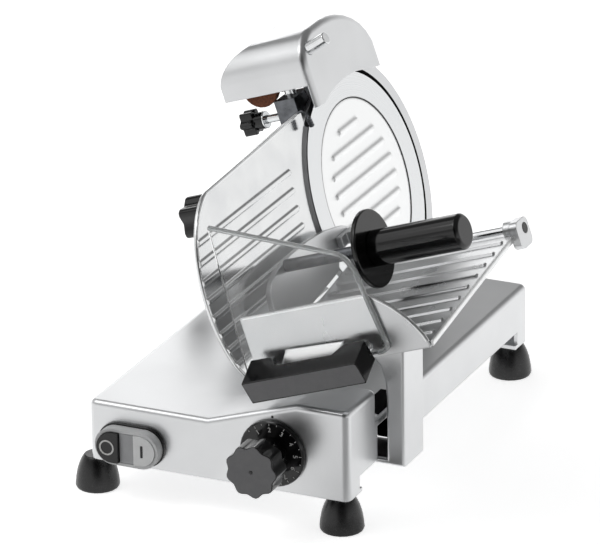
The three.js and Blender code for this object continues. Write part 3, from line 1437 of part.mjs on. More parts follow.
function addSharpener() {
  const onButtonAxis = (piece) =>
    piece
      .rotateY(-THREE.MathUtils.degToRad(PUSH_BUTTON_LIFT_DEGREES))
      .translate(HOOD_FRONT, -PUSH_BUTTON_NEAR, PUSH_BUTTON_HEIGHT);
  const buttonHole = onButtonAxis(
    rod('x', PUSH_BUTTON_RADIUS + FIT, -PUSH_BUTTON_STEM, PUSH_BUTTON_STEM, 28),
  );
  const hood = cut(hoodVolume(0), hoodVolume(HOOD_WALL), ...underHood(), buttonHole);
  add(tilted, 'sharpener_hood', hood, 'satinAluminium');
  const button = onButtonAxis(rod('x', PUSH_BUTTON_RADIUS, -PUSH_BUTTON_STEM, PUSH_BUTTON_REACH, 28));
  add(tilted, 'hood_button', button, 'chrome');

  const half = BRACKET_WIDTH / 2;
  const near = -SHARPENER_AXIS_NEAR;
  const postHole = onSharpenerAxis(
    rod('z', SHARPENER_POST_RADIUS + FIT, BRACKET_BOTTOM - OVERSHOOT, BRACKET_TOP + OVERSHOOT),
  );
  const bracket = cut(
    box(BRACKET_BACK, BRACKET_FACE, near - half, near + half, BRACKET_BOTTOM, BRACKET_TOP),
    postHole,
  );
  add(tilted, 'sharpener_bracket', bracket, 'darkSteel');
  const innerRound = HOOD_NEAR_ROUND - HOOD_WALL;
  const offset = HOOD_NEAR - HOOD_NEAR_ROUND - SHARPENER_AXIS_NEAR - SHARPENER_POST_RADIUS;
  const sag = innerRound - Math.sqrt(innerRound ** 2 - Math.min(0, offset) ** 2);
  const postTop = HOOD_TOP - HOOD_WALL - sag - FIT;
  const post = rod('z', SHARPENER_POST_RADIUS, SHARPENER_POST_BOTTOM, postTop, 24);
  add(tilted, 'sharpener_post', onSharpenerAxis(post), 'chrome');

  const lockPlace = (piece) => piece.translate(0, near, LOCK_HEIGHT);
  const screwEnd = BRACKET_BACK - FIT;
  const knobFront = screwEnd - LOCK_SCREW_LENGTH - FIT;
  const screw = rod('x', LOCK_SCREW_RADIUS, screwEnd - LOCK_SCREW_LENGTH, screwEnd, 20);
  add(tilted, 'lock_screw', lockPlace(screw), 'chrome');
  const starFront = knobFront - LOCK_HUB_LENGTH;
  const star = lobed(LOCK_KNOB_RADIUS, LOCK_KNOB_LOBES, LOCK_KNOB_LOBE_DEPTH);
  const knob = join(
    prism(star, 'yz', starFront - LOCK_KNOB_LENGTH, starFront),
    rod('x', LOCK_HUB_RADIUS, starFront - OVERSHOOT, knobFront),
  );
  add(tilted, 'lock_knob', lockPlace(knob), 'blackPlastic');
  addStones();
}

function addStones() {
  const carrierNear = -SHARPENER_AXIS_NEAR + SHARPENER_POST_RADIUS + FIT;
  const carrierFar = carrierNear + CARRIER_WIDTH;
  const halfHeight = CARRIER_HEIGHT / 2;
  const carrier = box(
    -STONE_BACK - halfHeight,
    -SHARPENER_AXIS_BACK + halfHeight,
    carrierNear,
    carrierFar,
    STONE_HEIGHT - halfHeight,
    STONE_HEIGHT + halfHeight,
  );
  add(tilted, 'stone_carrier', carrier, 'darkSteel');
  const nearFace = carrierNear - FIT - STONE_SHAFT_CLEAR;
  const farFace = carrierFar + FIT + STONE_SHAFT_CLEAR;
  const spans = [
    { stone: [nearFace - STONE_THICKNESS, nearFace], shaft: [nearFace - STONE_THICKNESS, carrierNear - FIT] },
    { stone: [farFace, farFace + STONE_THICKNESS], shaft: [carrierFar + FIT, farFace + STONE_THICKNESS] },
  ];
  spans.forEach(({ stone, shaft }, i) => {
    const place = (piece) => piece.translate(-STONE_BACK, 0, STONE_HEIGHT);
    const wheel = tube('y', STONE_RADIUS, STONE_SHAFT_RADIUS + FIT, ...stone);
    add(tilted, `stone_${i + 1}`, place(wheel), 'brownStone');
    add(tilted, `stone_shaft_${i + 1}`, place(rod('y', STONE_SHAFT_RADIUS, ...shaft, 16)), 'chrome');
  });
}

function addGland() {
  const start = BASE_LENGTH + FIT;
  const gland = tube('y', GLAND_RADIUS, GLAND_BORE, start, start + GLAND_LENGTH, 24);
  add(level, 'cable_gland', gland.translate(GLAND_X, 0, GLAND_Z), 'blackPlastic');
}

addBase();
addSwitch();
addDrive();
addBlade();
addGauge();
addThicknessKnob();
addCarriage();
addPusherRod();
addPusher();
addSharpener();
addGland();

// The origin is under the middle of the whole machine, on the worktop
root.updateMatrixWorld(true);
const bounds = new THREE.Box3().setFromObject(root, true);
const centre = bounds.getCenter(new THREE.Vector3());
level.position.set(-centre.x, -centre.y, -bounds.min.z);
root.updateMatrixWorld(true);

export default root;
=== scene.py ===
import math

import bmesh
import bpy
from mathutils import Matrix, Vector


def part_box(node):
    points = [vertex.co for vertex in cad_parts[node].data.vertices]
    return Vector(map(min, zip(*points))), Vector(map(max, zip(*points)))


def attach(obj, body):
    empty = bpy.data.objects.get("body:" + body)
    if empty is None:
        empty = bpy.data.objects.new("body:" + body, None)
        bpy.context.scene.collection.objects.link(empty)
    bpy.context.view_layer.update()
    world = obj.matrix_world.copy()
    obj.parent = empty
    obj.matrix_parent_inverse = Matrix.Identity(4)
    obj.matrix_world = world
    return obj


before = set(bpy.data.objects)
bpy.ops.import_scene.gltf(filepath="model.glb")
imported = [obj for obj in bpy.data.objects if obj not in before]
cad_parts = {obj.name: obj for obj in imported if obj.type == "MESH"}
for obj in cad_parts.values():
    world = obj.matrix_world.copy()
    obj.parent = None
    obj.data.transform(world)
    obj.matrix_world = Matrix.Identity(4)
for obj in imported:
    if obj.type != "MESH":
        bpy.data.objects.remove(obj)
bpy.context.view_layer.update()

# Sizes in millimetres. The level frame starts on the worktop at the base's front, just inside its left side.
# The tilted frame starts at the blade's centre: its x axis is the feed direction, away from the blade.
MM = 0.001
TILT = math.radians(18.9)
BLADE_CENTRE = (140, 316, 215)
BASE_LEFT = -3.5
BASE_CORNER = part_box("base_shell")[0]
LEVEL = Matrix.Translation((BASE_CORNER[0] - BASE_LEFT * MM, BASE_CORNER[1], 0)) @ Matrix.Scale(MM, 4)
TILTED = LEVEL @ Matrix.Translation(BLADE_CENTRE) @ Matrix.Rotation(-TILT, 4, "Y")

# On the front panel and the bottom cover, in the level frame
OFF_MARK = (23, -17.6, 55)
ON_MARK = (57.5, -14.75, 55)
DIAL_CENTRE = (186, 71)
DIAL_FRONT = -5.6
DIAL_INDEX = (185, 0, 106)
DIAL_NUMBER_RADIUS, DIAL_NUMBER_HEIGHT = 24, 6.4
DIAL_TICK_OUTER = 30.4
DIAL_STEP_DEGREES = 30
DIAL_HIGHEST = 10
DIAL_AT_REST = 2.13
KNOB_FRONT = -50
COVER_BOTTOM = 33.3
KNOB_RADIUS, KNOB_LOBES, KNOB_LOBE_DEPTH = 26, 9, 2.9

# In the tilted frame
GUARD_MIDDLE = -326.8
HANDLE_FRONT = -368.3
TRAY_NEAR_EDGE = -322
BLADE_RADIUS = 110
RING_INNER = 114.5
COVER_FACE = -0.6
COVER_RADIUS = 85.15
PUSHER_ROD_END = (200.1, -98, -45)
LOCK_KNOB_FACE = (-62.5, -37, 91)
HOUSING_BACK = -134

# The range that most values of a noise texture lie in
NOISE_LOW, NOISE_HIGH = 0.3, 0.7


# Colours and nodes

def linear(hex_colour):
    """A hex colour in sRGB as the linear colour that a shader takes."""
    parts = [int(hex_colour[i:i + 2], 16) / 255 for i in (1, 3, 5)]
    curved = [c / 12.92 if c <= 0.04045 else ((c + 0.055) / 1.055) ** 2.4 for c in parts]
    return (*curved, 1.0)


def node(tree, kind, inputs=None, **settings):
    """Adds a node with its settings. An input is a plain value or another node's output."""
    made = tree.nodes.new(kind)
    for name, value in settings.items():
        setattr(made, name, value)
    for socket, value in (inputs or {}).items():
        if isinstance(value, bpy.types.NodeSocket):
            tree.links.new(value, made.inputs[socket])
        else:
            made.inputs[socket].default_value = value
    return made


def cells(size_mm):
    """The texture scale at which one cell of a noise is this wide, in metres of object space."""
    return 1 / (size_mm * MM)


def finish(name, tones, patch_mm, gloss, grain_mm, depth_mm, painted_edge_tone=None, round_mm=0.8, stretch=(1, 1, 1),
           **surface):
    """A material that drifts between two tones and two degrees of gloss in patches, with a fine grain
    in its relief, soft edges and, where given, a painted edge tone along them: a painted highlight where
    it is lighter than the faces, painted shade where it is darker."""
    material = bpy.data.materials.new(name)
    material.use_nodes = True
    tree = material.node_tree
    tree.nodes.clear()
    place = node(tree, "ShaderNodeTexCoord")
    patch = node(tree, "ShaderNodeTexNoise", {
        "Vector": place.outputs["Object"], "Scale": cells(patch_mm), "Detail": 2.0,
    })
    level = node(tree, "ShaderNodeMapRange", {
        "Value": patch.outputs["Fac"], "From Min": NOISE_LOW, "From Max": NOISE_HIGH,
        "To Min": 0.0, "To Max": 1.0,
    })
    tone = node(tree, "ShaderNodeMix", {
        "Factor": level.outputs["Result"], "A": linear(tones[0]), "B": linear(tones[1]),
    }, data_type="RGBA")
    laid = node(tree, "ShaderNodeMapping", {
        "Vector": place.outputs["Object"], "Scale": [1 / s for s in stretch],
    })
    grain = node(tree, "ShaderNodeTexNoise", {
        "Vector": laid.outputs["Vector"], "Scale": cells(grain_mm), "Detail": 3.0,
    })
    shine = node(tree, "ShaderNodeMapRange", {
        "Value": patch.outputs["Fac"], "From Min": NOISE_LOW, "From Max": NOISE_HIGH,
        "To Min": gloss[0], "To Max": gloss[1],
    })
    rounded = node(tree, "ShaderNodeBevel", {"Radius": round_mm * MM}, samples=6)
    bump = node(tree, "ShaderNodeBump", {
        "Height": grain.outputs["Fac"], "Distance": depth_mm * MM, "Strength": 0.5,
        "Normal": rounded.outputs["Normal"],
    })
    colour = tone.outputs["Result"]
    # Painted light along the edges: where the rounded normal leans away from the face's own, the colour moves
    # towards the edge tone; this mask is painted light, not wear.
    if painted_edge_tone:
        face = node(tree, "ShaderNodeNewGeometry")
        agree = node(tree, "ShaderNodeVectorMath", {
            0: rounded.outputs["Normal"], 1: face.outputs["Normal"],
        }, operation="DOT_PRODUCT")
        rubbed = node(tree, "ShaderNodeMapRange", {
            "Value": agree.outputs["Value"], "From Min": 0.98, "From Max": 0.8, "To Min": 0.0, "To Max": 0.7,
        })
        edge = node(tree, "ShaderNodeMix", {
            "Factor": rubbed.outputs["Result"], "A": colour, "B": linear(painted_edge_tone),
        }, data_type="RGBA")
        colour = edge.outputs["Result"]
    shader = node(tree, "ShaderNodeBsdfPrincipled", {
        "Base Color": colour, "Roughness": shine.outputs["Result"], "Normal": bump.outputs["Normal"],
        **{socket.replace("_", " "): value for socket, value in surface.items()},
    })
    node(tree, "ShaderNodeOutputMaterial", {"Surface": shader.outputs["BSDF"]})
    return material


# Finishes

# Cast aluminium, bead blasted and clear anodised: an even grey with soft wide highlights, slow
# cloudy shading from the casting and a painted highlight along its edges. The beads leave marks of
# about 0.2 mm, drawn at 0.9 mm.
SATIN = finish("satin_anodised_aluminium", ("#D3D4D5", "#DCDDDE"), 60, (0.28, 0.34), 0.9, 0.012,
               painted_edge_tone="#EEEFEF", round_mm=1.2, Metallic=1.0)

# Aluminium casting polished with a wheel: bright and mirror-like, a little hazy where the wheel was held
# longest. Its lines run along the stroke and are finer than 0.1 mm, drawn 0.7 mm wide. Its edges carry
# a painted highlight.
POLISHED = finish("polished_aluminium", ("#DFE0E1", "#EAEBEB"), 40, (0.15, 0.2), 0.7, 0.006,
                  painted_edge_tone="#F4F5F5", round_mm=1.6, stretch=(1, 60, 1), Metallic=1.0)

# Aluminium disc polished and brightened in a bath: almost white, and its pressed ribs only just show.
# Its edges carry a painted highlight.
BRIGHT = finish("brightened_aluminium", ("#F8F9F9", "#FCFDFD"), 40, (0.3, 0.36), 0.7, 0.004,
                painted_edge_tone="#FDFEFE", round_mm=5.0, stretch=(1, 60, 1), Metallic=1.0)

# Rolled aluminium sheet of the tray, polished and then rubbed dull by the food: greyer, with broad streaks.
# Its edges take a painted edge tone close to its own grey.
TRAY_SHEET = finish("rubbed_aluminium_sheet", ("#C6C7C8", "#D0D1D2"), 30, (0.26, 0.34), 0.8, 0.01,
                    painted_edge_tone="#CBCCCD", round_mm=1.6, stretch=(50, 1, 1), Metallic=1.0)

# Turned steel with bright chrome: sharp reflections with a slight ripple from the lathe, drawn 1.6 mm wide.
CHROME = finish("chrome_plated_steel", ("#DDDFE0", "#ECEDEE"), 12, (0.06, 0.13), 1.6, 0.01, Metallic=1.0)

# Plain pressed and turned steel, lightly oiled: dark grey with a broken sheen.
OILED = finish("oiled_steel", ("#5A5C5F", "#77797D"), 8, (0.26, 0.42), 0.8, 0.02, round_mm=1.0, Metallic=1.0)

# Rolled steel motor can under dip paint: dark, half gloss, with orange peel about 1.8 mm wide.
MOTOR_PAINT = finish("dip_painted_steel", ("#3A3C41", "#4B4D52"), 20, (0.35, 0.5), 1.8, 0.05, IOR=1.5)

# ABS moulded in a polished tool: deep black with a clean highlight, and a painted highlight along its edges.
BLACK = finish("gloss_black_abs", ("#070708", "#0B0B0C"), 30, (0.1, 0.14), 0.8, 0.004,
               painted_edge_tone="#161617", round_mm=1.0, IOR=1.5)

# ABS moulded in a spark-eroded tool, with a fine pebble of about 0.15 mm, drawn at 0.6 mm. Its charcoal
# grey is painted light: a lit copy of the black ABS for the faces that look to the front, with painted
# shade along its edges.
FRONT_LIT_BLACK = finish("black_abs_painted_front_light", ("#68686A", "#717172"), 9, (0.5, 0.6), 0.6, 0.03,
                  painted_edge_tone="#5E5E60", round_mm=0.6, IOR=1.53)

# The same ABS in mid grey, light grey and pale grey for the switch, each with a painted highlight along
# its edges.
GREY = finish("grey_abs", ("#A6A7A9", "#B0B1B3"), 14, (0.34, 0.42), 0.6, 0.02, painted_edge_tone="#BEBFC0", IOR=1.53)
LIGHT_GREY = finish("light_grey_abs", ("#D2D3D4", "#DBDCDC"), 14, (0.3, 0.38), 0.6, 0.02,
                    painted_edge_tone="#E4E5E5", IOR=1.53)
PALE = finish("pale_abs", ("#E6E7E7", "#EEEFEF"), 14, (0.34, 0.42), 0.6, 0.02, painted_edge_tone="#F4F4F4", IOR=1.53)

# Moulded nitrile rubber: near black with a waxy half gloss and a faint speckle.
RUBBER = finish("nitrile_rubber", ("#0A0A0B", "#111112"), 6, (0.24, 0.32), 0.9, 0.015, round_mm=1.2, IOR=1.52)

# A dead black that takes up nearly all the light, with a fine nap drawn at 0.7 mm: painted shade, for
# the strips put where the guard ring's inner wall and the slot of the carriage's arm lie in shade.
SHADE_BLACK = finish("painted_shade_black", ("#040405", "#08080A"), 5, (0.9, 1.0), 0.7, 0.1, round_mm=0.2,
              Specular_IOR_Level=0.1)

# Cast acrylic sheet: almost no colour, with faint haze from handling.
ACRYLIC = finish("clear_cast_acrylic", ("#FAFBFB", "#FFFFFF"), 25, (0.0, 0.03), 8.0, 0.002,
                 round_mm=0.4, IOR=1.49, Transmission_Weight=1.0)

# The flame-polished edge of that sheet gathers the light inside it, so it looks like a pale milky bead.
ACRYLIC_EDGE = finish("flame_polished_acrylic", ("#E6EAEA", "#F2F4F4"), 9, (0.04, 0.1), 3.0, 0.01,
                      round_mm=0.4, IOR=1.49, Transmission_Weight=0.7)

# Aluminium oxide grit bonded with clay and fired: rusty brown, dull and pitted. Grains of about 0.1 mm,
# drawn at 0.7 mm.
STONE = finish("bonded_grit_stone", ("#5A2E18", "#8A5236"), 2.0, (0.8, 0.95), 0.7, 0.15, IOR=1.6)

# Pad-printed ink: an even, slightly patchy cover with a dull face.
WHITE_INK = finish("white_ink", ("#D2D2D0", "#E2E2E0"), 2.5, (0.45, 0.6), 0.7, 0.01, round_mm=0.1, IOR=1.5)
BLACK_INK = finish("black_ink", ("#151516", "#202022"), 2.5, (0.45, 0.6), 0.7, 0.01, round_mm=0.1, IOR=1.5)


def ground_steel():
    """Hard chromed knife steel, ground while it turns: very bright, with fine rings about its axis.
    The rings are drawn 0.8 mm apart, about four times the real pitch."""
    material = bpy.data.materials.new("ground_knife_steel")
    material.use_nodes = True
    tree = material.node_tree
    tree.nodes.clear()
    place = node(tree, "ShaderNodeTexCoord")
    away = node(tree, "ShaderNodeVectorMath", {
        0: place.outputs["Object"], 1: TILTED.translation,
    }, operation="DISTANCE")
    rings = node(tree, "ShaderNodeTexNoise", {
        "W": away.outputs["Value"], "Scale": cells(0.8), "Detail": 2.0,
    }, noise_dimensions="1D")
    tone = node(tree, "ShaderNodeMix", {
        "Factor": rings.outputs["Fac"], "A": linear("#DADCDD"), "B": linear("#ECEDEE"),
    }, data_type="RGBA")
    shine = node(tree, "ShaderNodeMapRange", {
        "Value": rings.outputs["Fac"], "From Min": NOISE_LOW, "From Max": NOISE_HIGH,
        "To Min": 0.14, "To Max": 0.22,
    })
    bump = node(tree, "ShaderNodeBump", {
        "Height": rings.outputs["Fac"], "Distance": 0.01 * MM, "Strength": 0.3,
    })
    shader = node(tree, "ShaderNodeBsdfPrincipled", {
        "Base Color": tone.outputs["Result"], "Roughness": shine.outputs["Result"],
        "Normal": bump.outputs["Normal"], "Metallic": 1.0,
    })
    node(tree, "ShaderNodeOutputMaterial", {"Surface": shader.outputs["BSDF"]})
    return material


BLADE_STEEL = ground_steel()


# The solids of the frame, each with its finish, the radius of its broken edges and its slot

def smoothing():
    """A modifier tree that shades faces smooth and keeps edges sharp past an angle."""
    tree = bpy.data.node_groups.new("shade_by_angle", "GeometryNodeTree")
    tree.interface.new_socket("Geometry", in_out="INPUT", socket_type="NodeSocketGeometry")
    tree.interface.new_socket("Geometry", in_out="OUTPUT", socket_type="NodeSocketGeometry")
    start = node(tree, "NodeGroupInput")
    turn = node(tree, "GeometryNodeInputMeshEdgeAngle")
    sharp = node(tree, "FunctionNodeCompare", {
        0: turn.outputs["Unsigned Angle"], 1: math.radians(38),
    }, data_type="FLOAT", operation="GREATER_THAN")
    soft = node(tree, "GeometryNodeSetShadeSmooth", {"Geometry": start.outputs[0]}, domain="FACE")
    split = node(tree, "GeometryNodeSetShadeSmooth", {
        "Geometry": soft.outputs[0], "Selection": sharp.outputs[0], "Shade Smooth": False,
    }, domain="EDGE")
    node(tree, "NodeGroupOutput", {0: split.outputs[0]})
    return tree


SHADING = smoothing()


def soften(obj, edge_mm):
    """Breaks the object's edges to a small radius and shades its curved faces smooth."""
    weld = obj.modifiers.new("weld", "WELD")
    weld.merge_threshold = 0.005 * MM
    flat = obj.modifiers.new("flat_faces", "DECIMATE")
    flat.decimate_type = "DISSOLVE"
    flat.angle_limit = math.radians(0.5)
    if edge_mm:
        bevel = obj.modifiers.new("broken_edges", "BEVEL")
        bevel.width = edge_mm * MM
        bevel.segments = 3
        bevel.limit_method = "ANGLE"
        bevel.angle_limit = math.radians(32)
        bevel.use_clamp_overlap = True
    obj.modifiers.new("shading", "NODES").node_group = SHADING
    even = obj.modifiers.new("even_normals", "WEIGHTED_NORMAL")
    even.keep_sharp = True


DRESSING = {
    "base_shell": (SATIN, 0.8), "bottom_cover": (OILED, 0.3),
    "foot_1": (RUBBER, 1.0), "foot_2": (RUBBER, 1.0), "foot_3": (RUBBER, 1.0), "foot_4": (RUBBER, 1.0),
    "switch_gasket": (RUBBER, 0.6), "switch_bezel": (LIGHT_GREY, 0.9), "off_button": (BLACK, 1.2),
    "switch_window": (GREY, 0.5), "on_button": (PALE, 1.0), "switch_body": (BLACK, 0.8),
    "motor_housing": (SATIN, 1.2), "blade_hub": (OILED, 0.4), "hub_bearing": (CHROME, 0.3),
    "blade_pulley": (OILED, 0.4), "motor_pulley": (OILED, 0.4), "motor": (MOTOR_PAINT, 2.0),
    "motor_plate": (OILED, 0.4), "drive_belt": (RUBBER, 0.3), "blade": (BLADE_STEEL, 0.0),
    "blade_cover": (BRIGHT, 0.5), "cover_tie_rod": (CHROME, 0.4), "cover_knob": (BLACK, 2.0),
    "slice_deflector": (POLISHED, 0.4), "gauge_plate": (POLISHED, 0.5), "gauge_support": (SATIN, 0.8),
    "gauge_rod": (CHROME, 0.5), "knob_spindle": (OILED, 0.3), "thickness_dial": (BLACK, 0.4),
    "thickness_knob": (BLACK, 0.5), "carriage_rod": (CHROME, 0.5), "slider_block": (SATIN, 0.8),
    "carriage_arm": (SATIN, 1.0), "tray": (TRAY_SHEET, 0.5), "clear_guard": (ACRYLIC, 0.7),
    "handle": (BLACK, 1.2), "handle_bolt_1": (CHROME, 0.8), "handle_bolt_2": (CHROME, 0.8),
    "rod_boss_right": (SATIN, 0.8), "rod_boss_left": (SATIN, 0.6), "pusher_rod": (CHROME, 0.6),
    "pusher_arm": (SATIN, 0.8), "pusher_sleeve": (SATIN, 0.5), "pusher_plate": (SATIN, 0.6),
    "pusher_shaft": (OILED, 0.4), "pusher_disc": (BLACK, 1.4), "pusher_grip": (BLACK, 1.2),
    "sharpener_hood": (SATIN, 0.8), "hood_button": (CHROME, 1.0), "sharpener_bracket": (OILED, 1.0),
    "sharpener_post": (CHROME, 0.5), "lock_screw": (CHROME, 0.3), "lock_knob": (BLACK, 1.6),
    "stone_carrier": (OILED, 0.5), "stone_1": (STONE, 0.6), "stone_2": (STONE, 0.6),
    "stone_shaft_1": (CHROME, 0.4), "stone_shaft_2": (CHROME, 0.4), "cable_gland": (BLACK, 0.8),
}
for name, (coat, edge_mm) in DRESSING.items():
    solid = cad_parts[name]
    for place in solid.material_slots:
        place.link = "OBJECT"
        place.material = coat
    soften(solid, edge_mm)


# Shapes for the added pieces, drawn in millimetres in one of the two frames

def put(name, mesh, frame_matrix, coat, body, edge_mm=0.0):
    """Adds a drawn shape to the object: its place, finish, body and material slot."""
    points = bpy.data.meshes.new(name)
    mesh.transform(frame_matrix)
    bmesh.ops.recalc_face_normals(mesh, faces=mesh.faces)
    mesh.to_mesh(points)
    mesh.free()
    piece = bpy.data.objects.new(name, points)
    bpy.context.scene.collection.objects.link(piece)
    points.materials.append(coat)
    soften(piece, edge_mm)
    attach(piece, body)


def turned(profile, steps):
    """A closed turned shape about z from (radius, height) pairs that start and end on the axis."""
    mesh = bmesh.new()
    angles = [2 * math.pi * i / steps for i in range(steps)]
    rings = []
    for radius, height in profile:
        if radius == 0:
            rings.append([mesh.verts.new((0, 0, height))] * steps)
            continue
        circle = [(radius * math.cos(a), radius * math.sin(a), height) for a in angles]
        rings.append([mesh.verts.new(point) for point in circle])
    for low, high in zip(rings, rings[1:]):
        for i in range(steps):
            j = (i + 1) % steps
            corners = list(dict.fromkeys([low[i], low[j], high[j], high[i]]))
            if len(corners) > 2:
                mesh.faces.new(corners)
    return mesh


def ring_of(profile, steps):
    """A turned ring about z whose section is the closed profile of (radius, height) pairs."""
    mesh = bmesh.new()
    turns = []
    for i in range(steps):
        angle = 2 * math.pi * i / steps
        turns.append([mesh.verts.new((r * math.cos(angle), r * math.sin(angle), h)) for r, h in profile])
    count = len(profile)
    for i in range(steps):
        this, following = turns[i], turns[(i + 1) % steps]
        for k in range(count):
            m = (k + 1) % count
            mesh.faces.new([this[k], this[m], following[m], following[k]])
    return mesh


def bent_rod(path, radius, sides=10):
    """A round rod along a path of points, with rounded ends."""
    points = [Vector(p) for p in path]
    angles = [2 * math.pi * k / sides for k in range(sides)]
    mesh = bmesh.new()
    rings = []
    side = None
    for i, point in enumerate(points):
        along = (points[min(i + 1, len(points) - 1)] - points[max(i - 1, 0)]).normalized()
        if side is None:
            side = along.orthogonal().normalized()
        side = (side - along * side.dot(along)).normalized()
        other = along.cross(side)
        around = [side * math.cos(a) + other * math.sin(a) for a in angles]
        rings.append([mesh.verts.new(point + out * radius) for out in around])
    for low, high in zip(rings, rings[1:]):
        for k in range(sides):
            m = (k + 1) % sides
            mesh.faces.new([low[k], low[m], high[m], high[k]])
    for ring, inward in ((rings[0], points[1] - points[0]), (rings[-1], points[-2] - points[-1])):
        tip = mesh.verts.new(sum((v.co for v in ring), Vector()) / sides - inward.normalized() * radius * 0.6)
        for k in range(sides):
            mesh.faces.new([ring[k], ring[(k + 1) % sides], tip])
    return mesh


def curve_points(start, pull_1, pull_2, end, steps=16):
    """Points along a cubic curve."""
    points = []
    for i in range(steps + 1):
        t = i / steps
        s = 1 - t
        points.append(Vector(start) * s ** 3 + Vector(pull_1) * 3 * s * s * t
                      + Vector(pull_2) * 3 * s * t * t + Vector(end) * t ** 3)
    return points


def bar(size, place):
    """A small bar with its long edges cut, for a printed or moulded mark."""
    mesh = bmesh.new()
    half = [s / 2 for s in size]
    cut = min(half[0], half[2]) * 0.5
    outline = [(half[0] - cut, half[2]), (half[0], half[2] - cut), (half[0], -half[2] + cut),
               (half[0] - cut, -half[2]), (-half[0] + cut, -half[2]), (-half[0], -half[2] + cut),
               (-half[0], half[2] - cut), (-half[0] + cut, half[2])]
    front = [mesh.verts.new((x, -half[1], z)) for x, z in outline]
    back = [mesh.verts.new((x, half[1], z)) for x, z in outline]
    mesh.faces.new(front)
    mesh.faces.new(back[::-1])
    for k in range(len(outline)):
        m = (k + 1) % len(outline)
        mesh.faces.new([front[k], back[k], back[m], front[m]])
    mesh.transform(place)
    return mesh


def arc_strip(section, start_degrees, end_degrees, steps=80):
    """A strip round the blade's axis, in the tilted frame, whose section is (radius, x) pairs."""
    mesh = bmesh.new()
    turns = []
    for i in range(steps + 1):
        angle = math.radians(start_degrees + (end_degrees - start_degrees) * i / steps)
        turns.append([mesh.verts.new((n, r * math.cos(angle), r * math.sin(angle))) for r, n in section])
    count = len(section)
    for this, following in zip(turns, turns[1:]):
        for k in range(count):
            m = (k + 1) % count
            mesh.faces.new([this[k], this[m], following[m], following[k]])
    mesh.faces.new(turns[0])
    mesh.faces.new(turns[-1])
    return mesh


def slab(front, back):
    """A closed shape between two loops of the same number of points."""
    mesh = bmesh.new()
    near = [mesh.verts.new(point) for point in front]
    far = [mesh.verts.new(point) for point in back]
    mesh.faces.new(near)
    mesh.faces.new(far)
    for k in range(len(near)):
        m = (k + 1) % len(near)
        mesh.faces.new([near[k], near[m], far[m], far[k]])
    return mesh


def facing_front(x, y, z):
    """Turns a shape drawn along z to face the operator at a place in the level frame."""
    return Matrix.Translation((x, y, z)) @ Matrix.Rotation(math.radians(90), 4, "X")


def along_feed(n, y, u):
    """Turns a shape drawn along z to point along the feed direction in the tilted frame."""
    return Matrix.Translation((n, y, u)) @ Matrix.Rotation(math.radians(90), 4, "Y")


def joined(meshes):
    """Several drawn shapes as one."""
    whole = bmesh.new()
    for mesh in meshes:
        sheet = bpy.data.meshes.new("part")
        mesh.to_mesh(sheet)
        mesh.free()
        whole.from_mesh(sheet)
        bpy.data.meshes.remove(sheet)
    return whole


# Switch marks

def switch_marks():
    ring = ring_of([(6.0, 0), (7.5, 0), (7.5, 0.3), (6.0, 0.3)], 40)
    put("off_mark", ring, LEVEL @ facing_front(*OFF_MARK), WHITE_INK, "off_button")
    stroke = bar((2.4, 0.3, 12), Matrix.Translation(ON_MARK))
    put("on_mark", stroke, LEVEL, BLACK_INK, "on_button")


# Dial scale and knob

def on_dial(clockwise_degrees, radius):
    """A matrix at a place on the dial's face, whose z points outwards and y into the dial."""
    centre = Matrix.Translation((DIAL_CENTRE[0], DIAL_FRONT, DIAL_CENTRE[1]))
    turn = Matrix.Rotation(math.radians(clockwise_degrees), 4, "Y")
    return centre @ turn @ Matrix.Translation((0, 0, radius))


def number_mesh(text, height, place):
    """A number drawn as thin raised strokes, centred on its place."""
    curve = bpy.data.curves.new("number", "FONT")
    curve.body = text
    curve.size = height
    curve.align_x = "CENTER"
    curve.align_y = "CENTER"
    curve.extrude = 0.06
    curve.offset = 0.05
    holder = bpy.data.objects.new("number", curve)
    bpy.context.scene.collection.objects.link(holder)
    shape = bpy.data.meshes.new_from_object(holder.evaluated_get(bpy.context.evaluated_depsgraph_get()))
    mesh = bmesh.new()
    mesh.from_mesh(shape)
    mesh.transform(place @ Matrix.Rotation(math.radians(90), 4, "X"))
    bpy.data.objects.remove(holder)
    bpy.data.curves.remove(curve)
    bpy.data.meshes.remove(shape)
    return mesh


def dial_scale():
    marks = []
    for half in range(1, 2 * DIAL_HIGHEST + 2):
        turn = (half / 2 - DIAL_AT_REST) * DIAL_STEP_DEGREES
        length = 1.5 if half % 2 else 2.4
        marks.append(bar((0.6, 0.16, length), on_dial(turn, DIAL_TICK_OUTER - length / 2)))
        if half % 2 == 0:
            place = on_dial(turn, DIAL_NUMBER_RADIUS)
            marks.append(number_mesh(str(half // 2), DIAL_NUMBER_HEIGHT, place))
    put("dial_scale", joined(marks), LEVEL, WHITE_INK, "thickness_knob")
    dot = turned([(0, 0), (1.3, 0), (1.2, 0.2), (0, 0.25)], 20)
    put("dial_index", dot, LEVEL @ facing_front(*DIAL_INDEX), BLACK_INK, "base")


